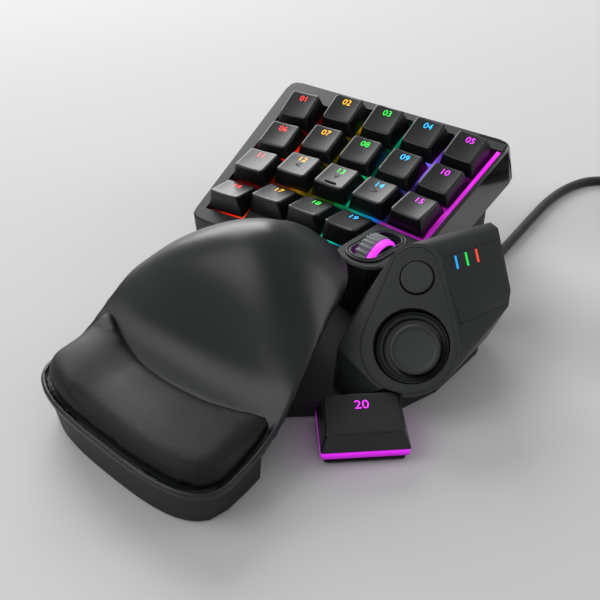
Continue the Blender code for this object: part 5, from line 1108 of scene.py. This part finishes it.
class KEYPAD_OT_stage(bpy.types.Operator):
    """Floor, lights and the camera at the photograph's angle"""

    bl_idname = "keypad.stage"
    bl_label = "Stage"

    def execute(self, context):
        settings = context.scene.keypad_stage
        edit = bmesh.new()
        bmesh.ops.create_grid(edit, x_segments=1, y_segments=1, size=6.0)
        floor = bpy.data.objects.new("floor", mesh_of(edit, "floor"))
        context.scene.collection.objects.link(floor)
        # Matt paper sweep: pale, without any highlight, so that only shadows show on it
        made, tree, shader, place = start_material("pale_paper_floor", settings.floor_colour, 0.9)
        fibre = add_node(tree, "ShaderNodeTexNoise", {"Vector": place, "Scale": 300.0, "Detail": 3.0})
        rough = {"Height": fibre.outputs["Fac"], "Strength": 0.1, "Distance": 0.1 * MM}
        relief = add_node(tree, "ShaderNodeBump", rough)
        feed(shader, {"Normal": relief.outputs["Normal"], "Specular IOR Level": 0.1})
        floor.data.materials.append(made)

        world = bpy.data.worlds.new("even_sky")
        world.use_nodes = True
        context.scene.world = world
        feed(world.node_tree.nodes["Background"], {"Color": (1.0, 1.0, 1.0, 1.0), "Strength": settings.sky_strength})
        for name, spot, size in LAMPS:
            lamp = bpy.data.lights.new(name + "_light", "AREA")
            lamp.shape = "SQUARE"
            lamp.size = size
            lamp.energy = getattr(settings, name + "_power")
            holder = bpy.data.objects.new(name + "_light", lamp)
            context.scene.collection.objects.link(holder)
            heading = (LAMP_AIM - Vector(spot)).to_track_quat("-Z", "Y")
            holder.matrix_world = Matrix.Translation(spot) @ heading.to_matrix().to_4x4()

        right = Vector((math.cos(CAMERA_AZIMUTH), math.sin(CAMERA_AZIMUTH), 0.0))
        level = Vector((math.sin(CAMERA_AZIMUTH), -math.cos(CAMERA_AZIMUTH), 0.0))
        back = level * math.cos(CAMERA_ELEVATION) + Vector((0.0, 0.0, math.sin(CAMERA_ELEVATION)))
        turn = Matrix((right, back.cross(right), back)).transposed().to_4x4() @ Matrix.Rotation(CAMERA_ROLL, 4, "Z")
        camera = bpy.data.cameras.new("photo_view")
        camera.sensor_width = 36.0
        camera.lens = CAMERA_LENS
        camera.clip_start = 0.01
        camera.clip_end = 20.0
        holder = bpy.data.objects.new("photo_view", camera)
        context.scene.collection.objects.link(holder)
        holder.matrix_world = Matrix.Translation(CAMERA_PLACE) @ turn
        context.scene.camera = holder
        context.scene.view_settings.view_transform = "Standard"
        return {"FINISHED"}


class KEYPAD_OT_cable(bpy.types.Operator):
    """Braided cable from the strain relief through its stowed coil to the plug"""

    bl_idname = "keypad.cable"
    bl_label = "Cable"

    def execute(self, context):
        route = whole_route()
        length = sum((b - a).length for a, b in zip(route, route[1:]))
        mesh = tube_along("braided_cable", route, CABLE_DIAMETER / 2, sides=4)
        if not mesh.uv_layers:
            raise RuntimeError("the cable has no map for its braid")
        # Bundles of the sleeve are 0.9 mm wide, so the map is stretched to millimetres along and round
        for corner in mesh.uv_layers[0].data:
            corner.uv = (corner.uv[0] * length / MM, corner.uv[1] * math.pi * CABLE_DIAMETER / MM)
        cable = link_piece("braided_cable", mesh, braided_nylon(), BODY)
        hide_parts("cable_lead", "cable_coil", "cable_tail")
        return {"FINISHED"}


class KEYPAD_OT_finishes(bpy.types.Operator):
    """Procedural finishes for every CAD node, and moulded edges for those in view"""

    bl_idname = "keypad.finishes"
    bl_label = "Finishes"

    def execute(self, context):
        glow = context.scene.keypad_finish
        keys = ["key_%02d" % number for number in range(1, 21)]
        dress(moulded("soft_touch_abs"), "deck_frame", "thumb_housing", "thumb_face", "side_panel", "wheel_bezel")
        dress(moulded("soft_touch_abs"), "thumb_button")
        dress(moulded("soft_touch_rest_abs"), "palm_shell")
        dress(moulded("textured_base_abs"), "base_shell", "palm_heel", "wheel_carrier", "key_20_pedestal")
        dress(moulded("textured_base_abs"), "stick_gimbal", "usb_plug_body", "cable_lead", "cable_coil", "cable_tail")
        dress(moulded("lacquered_key_abs"), "thumb_stick", "stick_gate", *keys)
        dress(moulded("foot_rubber"), "foot_far_left", "foot_far_right", "foot_near_left", "foot_thumb")
        dress(moulded("foot_rubber"), "palm_foot", "cable_gland")
        dress(moulded("wheel_rubber"), "wheel_tyre")
        dress(moulded("milky_silicone"), "dome_mat")
        dress(polished("polished_black_abs"), "side_trim")
        dress(polished("nickel_plated_steel"), "usb_plug_shell", "wheel_axle")
        dress(edge_light(glow.edge_colour, glow.edge_glow), "edge_light_strip")
        dress(band_light(), "key_20_light_band")
        dress(wheel_ring_light(), "wheel_hub")
        dress(status_windows(), "status_light_pipe")
        dress(backlit_plate(), "key_guide_plate")
        dress(circuit_laminate(), "circuit_board")
        dress(leatherette(), "wrist_pad")
        soften(0.4 * MM, 2, 28.0, "deck_frame", "side_trim", "thumb_face", "side_panel", "wheel_bezel")
        soften(1.6 * MM, 4, 12.0, "thumb_housing")
        soften(0.5 * MM, 2, 28.0, "base_shell", "palm_heel")
        soften(0.3 * MM, 2, 28.0, "usb_plug_body")
        soften(0.1 * MM, 1, 28.0, "cable_gland", "usb_plug_shell")
        filled = NODES["side_panel"].modifiers.new("close_fit", "SOLIDIFY")
        filled.thickness = 0.27 * MM
        filled.offset = 1.0
        return {"FINISHED"}


class KEYPAD_OT_key_caps(bpy.types.Operator):
    """Moulded caps with dished tops on every key"""

    bl_idname = "keypad.key_caps"
    bl_label = "Key caps"

    def execute(self, context):
        finish = moulded("lacquered_key_abs")
        for number, column, row in finger_keys():
            name = "cap_%02d" % number
            edit = cap_shell(
                KEY_TOP, KEY_BASE, KEY_CORNER, KEY_FLOOR, -ROW_DROP[row], ROW_LEAN[row], KEY_DISH, CAP_STEPS
            )
            add_box(edit, KEY_STEM, (0.0, 0.0, KEY_STEM_MIDDLE))
            bmesh.ops.transform(edit, verts=edit.verts, matrix=key_place(column, row))
            piece = link_piece(name, mesh_of(edit, name, 44), finish, "key_%02d" % number)
            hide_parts("key_%02d" % number)
        edit = cap_shell(
            THUMB_KEY_TOP, THUMB_KEY_BASE, THUMB_KEY_CORNER, THUMB_KEY_SKIRT, THUMB_KEY_HEIGHT, THUMB_KEY_LEAN,
            THUMB_KEY_DISH, THUMB_KEY_STEPS,
        )
        bmesh.ops.transform(edit, verts=edit.verts, matrix=THUMB_KEY_PLACE)
        piece = link_piece("cap_20", mesh_of(edit, "cap_20", 44), finish, "key_20")
        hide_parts("key_20")
        return {"FINISHED"}


class KEYPAD_OT_wheel(bpy.types.Operator):
    """Beads round the scroll wheel's slot, its lit flange, side cover and ribbed tyre"""

    bl_idname = "keypad.wheel"
    bl_label = "Scroll wheel"

    def execute(self, context):
        # The block round the wheel leans with the nearest keys
        shift = Matrix.Translation(WHEEL_BLOCK_SHIFT) @ Matrix.Rotation(ROW_LEAN[LAST_ROW], 4, "X")
        nose = key_place(LAST_COLUMN, LAST_ROW - 1) @ shift
        for name, length, width, radius, height in BEZEL_BEADS:
            points = [nose @ (Vector((x, y, height)) * MM) for x, y in stadium(length, width)]
            bead = tube_along(name, points, radius * MM, closed=True)
            link_piece(name, bead, moulded("soft_touch_abs"), BODY)

        half = max((vert.co - WHEEL_CENTRE).dot(WHEEL_AXIS) for vert in NODES["wheel_hub"].data.vertices) / MM
        place = Matrix.Translation(WHEEL_CENTRE) @ WHEEL_AXIS.to_track_quat("Z", "Y").to_matrix().to_4x4()
        profile = rounded_profile((
            (1.5, half), (9.0, half), (10.6, half - 0.5), (11.4, half - 1.0), (11.4, half - 2.6), (9.5, half - 2.6),
            (9.5, -half), (1.5, -half), (1.5, half),
        ), 0.35)
        ring = link_turned("lit_ring", profile, place, wheel_ring_light(), "scroll_wheel", 96)
        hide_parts("wheel_hub")
        low, high = half + 0.02, half + 0.14
        profile = ((1.5, low), (10.0, low), (9.9, high), (1.5, high), (1.5, low))
        link_turned("wheel_side_cover", profile, place, moulded("matt_control_abs"), "scroll_wheel", 96)

        edit = bmesh.new()
        bmesh.ops.create_circle(edit, cap_ends=False, segments=WHEEL_RIBS * 4, radius=WHEEL_RADIUS * MM)
        for index, vert in enumerate(sorted(edit.verts, key=lambda vert: math.atan2(vert.co.y, vert.co.x))):
            if index % 4 > 1:
                vert.co *= 1.0 - WHEEL_RIB_HEIGHT / WHEEL_RADIUS
        inner = bmesh.ops.extrude_edge_only(edit, edges=edit.edges[:])["geom"]
        for item in inner:
            if isinstance(item, bmesh.types.BMVert):
                item.co *= TYRE_BORE * MM / item.co.length
        bmesh.ops.translate(edit, verts=edit.verts, vec=(0.0, 0.0, -half * MM))
        thicken(edit, lambda co: co + Vector((0.0, 0.0, TYRE_WIDTH * MM)))
        bmesh.ops.transform(edit, verts=edit.verts, matrix=place)
        mesh = mesh_of(edit, "ribbed_tyre", 30)
        # The ribs' grey is a painted highlight that stands for the light the dark rubber ribs catch
        tyre = link_piece("ribbed_tyre", mesh, moulded("polished_wheel_rubber"), "scroll_wheel")
        edges = tyre.modifiers.new("moulded_edge", "BEVEL")
        edges.width = 0.16 * MM
        edges.segments = 2
        edges.limit_method = "ANGLE"
        edges.angle_limit = math.radians(35)
        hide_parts("wheel_tyre")
        return {"FINISHED"}


class KEYPAD_OT_thumb_controls(bpy.types.Operator):
    """Round button, stick with its dished cap, ring round the stick and bead round the thumb face"""

    bl_idname = "keypad.thumb_controls"
    bl_label = "Thumb controls"

    def execute(self, context):
        finish = moulded("matt_control_abs")
        profile = rounded_profile(BUTTON_PROFILE, 0.5)
        button = link_turned("round_button", profile, BUTTON_PLACE, finish, "thumb_button")
        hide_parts("thumb_button")

        profile = rounded_profile(STICK_PROFILE, 0.6)
        for angle in range(40, 181, 10):
            profile.append((STICK_BALL * math.sin(math.radians(angle)), STICK_BALL * math.cos(math.radians(angle))))
        stick = link_turned("stick_cap", profile, STICK_PLACE, finish, "thumb_stick")
        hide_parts("thumb_stick")

        gate = link_turned("gate_ring", rounded_profile(GATE_PROFILE, 0.25), FACE_PLACE, finish, BODY)
        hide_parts("stick_gate")

        flat = FACE_PLACE.inverted()
        spots = [flat @ vert.co for vert in NODES["thumb_face"].data.vertices]
        rim = max(spot.z for spot in spots)
        spots = [spot for spot in spots if spot.z > rim - 0.3 * MM]
        order = convex_hull_2d([spot.to_2d() for spot in spots])
        outline = [FACE_PLACE @ Vector((spots[index].x, spots[index].y, rim - 0.12 * MM)) for index in order]
        bead = tube_along("face_edge_bead", outline, 0.34 * MM, closed=True)
        link_piece("face_edge_bead", bead, moulded("soft_touch_abs"), BODY)
        return {"FINISHED"}


class KEYPAD_OT_legends(bpy.types.Operator):
    """Lit figures, printed arrows and the homing bar on the keys"""

    bl_idname = "keypad.legends"
    bl_label = "Legends"

    def execute(self, context):
        settings = context.scene.keypad_finish
        size = settings.legend_size
        lit = [
            lit_acrylic("lit_legend_%d" % (index + 1), colour, settings.legend_glow)
            for index, colour in enumerate(LEGEND_COLOURS)
        ]
        ink = moulded("black_pad_ink")
        for number, column, row in finger_keys():
            words = "%02d" % number
            place = key_top_place(column, row)
            print_mark("legend_" + words, words, size, LEGEND_FORWARD, place, number, lit[column])
            if number in ARROWS:
                arrow, share = ARROWS[number]
                forward = LEGEND_FORWARD - ARROW_BEHIND
                print_mark(
                    "arrow_" + words, arrow, size * share, forward, place, number, ink, ARROW_WEIGHT
                )
        raised = Matrix.Translation((0.0, 0.0, THUMB_KEY_HEIGHT))
        place = THUMB_KEY_PLACE @ raised @ Matrix.Rotation(THUMB_KEY_LEAN, 4, "X")
        print_mark(
            "legend_20", "20", THUMB_LEGEND_SIZE, THUMB_LEGEND_FORWARD, place, 20, lit[LAST_COLUMN]
        )

        ends = [key_top_place(2, 2) @ Vector((x * MM, -5.0 * MM, -0.25 * MM)) for x in (-2.6, 2.6)]
        bar = tube_along("homing_bar", ends, 0.45 * MM, sides=4)
        link_piece("homing_bar", bar, ink, "key_13")
        return {"FINISHED"}


class KEYPAD_OT_plug(bpy.types.Operator):
    """Tongue, contacts, latch windows painted as dark plates of painted shade, and strain-relief ribs of the plug"""

    bl_idname = "keypad.plug"
    bl_label = "Plug details"

    def execute(self, context):
        spots = [vert.co for vert in NODES["usb_plug_shell"].data.vertices]
        low = Vector([min(spot[axis] for spot in spots) for axis in range(3)])
        high = Vector([max(spot[axis] for spot in spots) for axis in range(3)])
        front = Vector(((low.x + high.x) / 2, low.y, (low.z + high.z) / 2))
        wide = (high.x - low.x) / MM
        top = (high.z - front.z) / MM
        # Blocks in millimetres: size, how far back and up their middle lies, how many and their pitch
        for name, finish, slot, size, back, up, count, pitch in (
            ("plug_tongue", moulded("insulating_nylon"), "matte_black", (wide - 1.7, 8.9, 1.45), 5.15, 0.825, 1, 0.0),
            # The latch windows are not cut: thin black plates on the shell are painted shade standing for the holes
            ("plug_windows", moulded("black_pad_ink"), "matte_black", (2.0, 2.2, 0.04), 6.3, top + 0.02, 2, 5.0),
            ("plug_contacts", polished("gold_plating"), "steel", (1.1, 7.6, 0.12), 5.2, 0.05, 4, 2.2),
        ):
            edit = bmesh.new()
            for index in range(count):
                aside = (index - (count - 1) / 2) * pitch
                add_box(edit, Vector(size) * MM, front + Vector((aside, back, up)) * MM)
            link_piece(name, mesh_of(edit, name), finish, BODY)

        edit = bmesh.new()
        turns = [math.pi * step / 16 for step in range(32)]
        for index in range(5):
            radius = 2.35 + 0.13 * index
            ring = [Vector((radius * math.cos(turn), -0.8 - 1.25 * index, radius * math.sin(turn))) for turn in turns]
            points = [PLUG_NECK_END + spot * MM for spot in ring]
            edit.from_mesh(tube_along("rib", points, 0.38 * MM, closed=True, sides=2))
        mesh = mesh_of(edit, "plug_relief_ribs", 60)
        link_piece("plug_relief_ribs", mesh, moulded("relief_rubber"), BODY)
        return {"FINISHED"}


class KEYPAD_OT_underside(bpy.types.Operator):
    """Sunk screws in the underside of the base, their cross slots shown by dark boxes of painted shade"""

    bl_idname = "keypad.underside"
    bl_label = "Underside"

    def execute(self, context):
        floor = min(vert.co.z for vert in NODES["base_shell"].data.vertices)
        profile = rounded_profile(SCREW_PROFILE, 0.1)
        for index, (x, y) in enumerate(SCREW_PLACES, 1):
            place = Matrix.Translation((x, y, floor))
            link_turned("base_screw_%d" % index, profile, place, polished("nickel_plated_steel"), BODY, 32)
            # The cross slot is painted shade: two thin black boxes where the slot's shade would fall, not a cut
            cross = bmesh.new()
            for turn in (SCREW_TURN, SCREW_TURN + math.pi / 2):
                add_box(cross, SCREW_SLOT, (x, y, floor - SCREW_SLOT_SUNK), turn)
            mesh = mesh_of(cross, "screw_recess")
            link_piece("screw_recess_%d" % index, mesh, moulded("black_pad_ink"), BODY)
        return {"FINISHED"}


class KEYPAD_OT_palm_rest(bpy.types.Operator):
    """Smooth skin of the palm rest and the rounded wall of its heel"""

    bl_idname = "keypad.palm_rest"
    bl_label = "Palm rest"

    def execute(self, context):
        mesh = mesh_of(palm_shape(48), "palm_skin", 50)
        skin = link_piece("palm_skin", mesh, moulded("soft_touch_rest_abs"), "palm_rest")
        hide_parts("palm_shell")
        mesh = mesh_of(heel_shape(), "heel_wall", 50)
        link_piece("heel_wall", mesh, moulded("textured_base_abs"), "palm_rest")
        return {"FINISHED"}


class KEYPAD_OT_wrist_pad(bpy.types.Operator):
    """Soft leatherette cushion, stuffed by a cloth simulation, in the recess of the palm rest"""

    bl_idname = "keypad.wrist_pad"
    bl_label = "Wrist pad"

    def execute(self, context):
        mesh = mesh_of(cushion(56), "wrist_cushion")
        mesh.shade_smooth()
        pad = link_piece("wrist_cushion", mesh, NODES["wrist_pad"].data.materials[0], "palm_rest")
        cells = pad.modifiers.new("cells", "REMESH")
        cells.mode = "VOXEL"
        cells.voxel_size = PAD_VOXEL
        cells.use_smooth_shade = True
        graph = context.evaluated_depsgraph_get()
        woven = bpy.data.meshes.new_from_object(pad.evaluated_get(graph))
        pad.modifiers.remove(cells)
        pad.data = woven
        stuffed(pad, PAD_SWELL)
        even = bmesh.new()
        even.from_mesh(pad.data)
        for _round in range(2):
            bmesh.ops.smooth_vert(
                even, verts=even.verts, factor=0.5, use_axis_x=True, use_axis_y=True, use_axis_z=True
            )
        even.to_mesh(pad.data)
        even.free()
        pad.data.shade_smooth()
        finer = pad.modifiers.new("finer", "SUBSURF")
        finer.levels = 1
        finer.render_levels = 1
        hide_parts("wrist_pad")
        return {"FINISHED"}


class KEYPAD_PT_panel(bpy.types.Panel):
    """Lists the steps that dress the keypad"""

    bl_idname = "KEYPAD_PT_panel"
    bl_label = "Gaming keypad"
    bl_space_type = "VIEW_3D"
    bl_region_type = "UI"
    bl_category = "Keypad"

    def draw(self, context):
        for group in (context.scene.keypad_finish, context.scene.keypad_stage):
            for name in group.__annotations__:
                self.layout.prop(group, name)
        for step in STEPS:
            self.layout.operator(step.bl_idname)


STEPS = (
    KEYPAD_OT_stage,
    KEYPAD_OT_cable,
    KEYPAD_OT_finishes,
    KEYPAD_OT_key_caps,
    KEYPAD_OT_wheel,
    KEYPAD_OT_thumb_controls,
    KEYPAD_OT_legends,
    KEYPAD_OT_plug,
    KEYPAD_OT_underside,
    KEYPAD_OT_palm_rest,
    KEYPAD_OT_wrist_pad,
)
CLASSES = (KEYPAD_PG_finish, KEYPAD_PG_stage) + STEPS + (KEYPAD_PT_panel,)


def register():
    for item in CLASSES:
        bpy.utils.register_class(item)
    bpy.types.Scene.keypad_finish = bpy.props.PointerProperty(type=KEYPAD_PG_finish)
    bpy.types.Scene.keypad_stage = bpy.props.PointerProperty(type=KEYPAD_PG_stage)


def unregister():
    del bpy.types.Scene.keypad_stage
    del bpy.types.Scene.keypad_finish
    for item in reversed(CLASSES):
        bpy.utils.unregister_class(item)


def main():
    register()
    for step in STEPS:
        group, name = step.bl_idname.split(".")
        getattr(getattr(bpy.ops, group), name)()


if __name__ == "__main__":
    main()
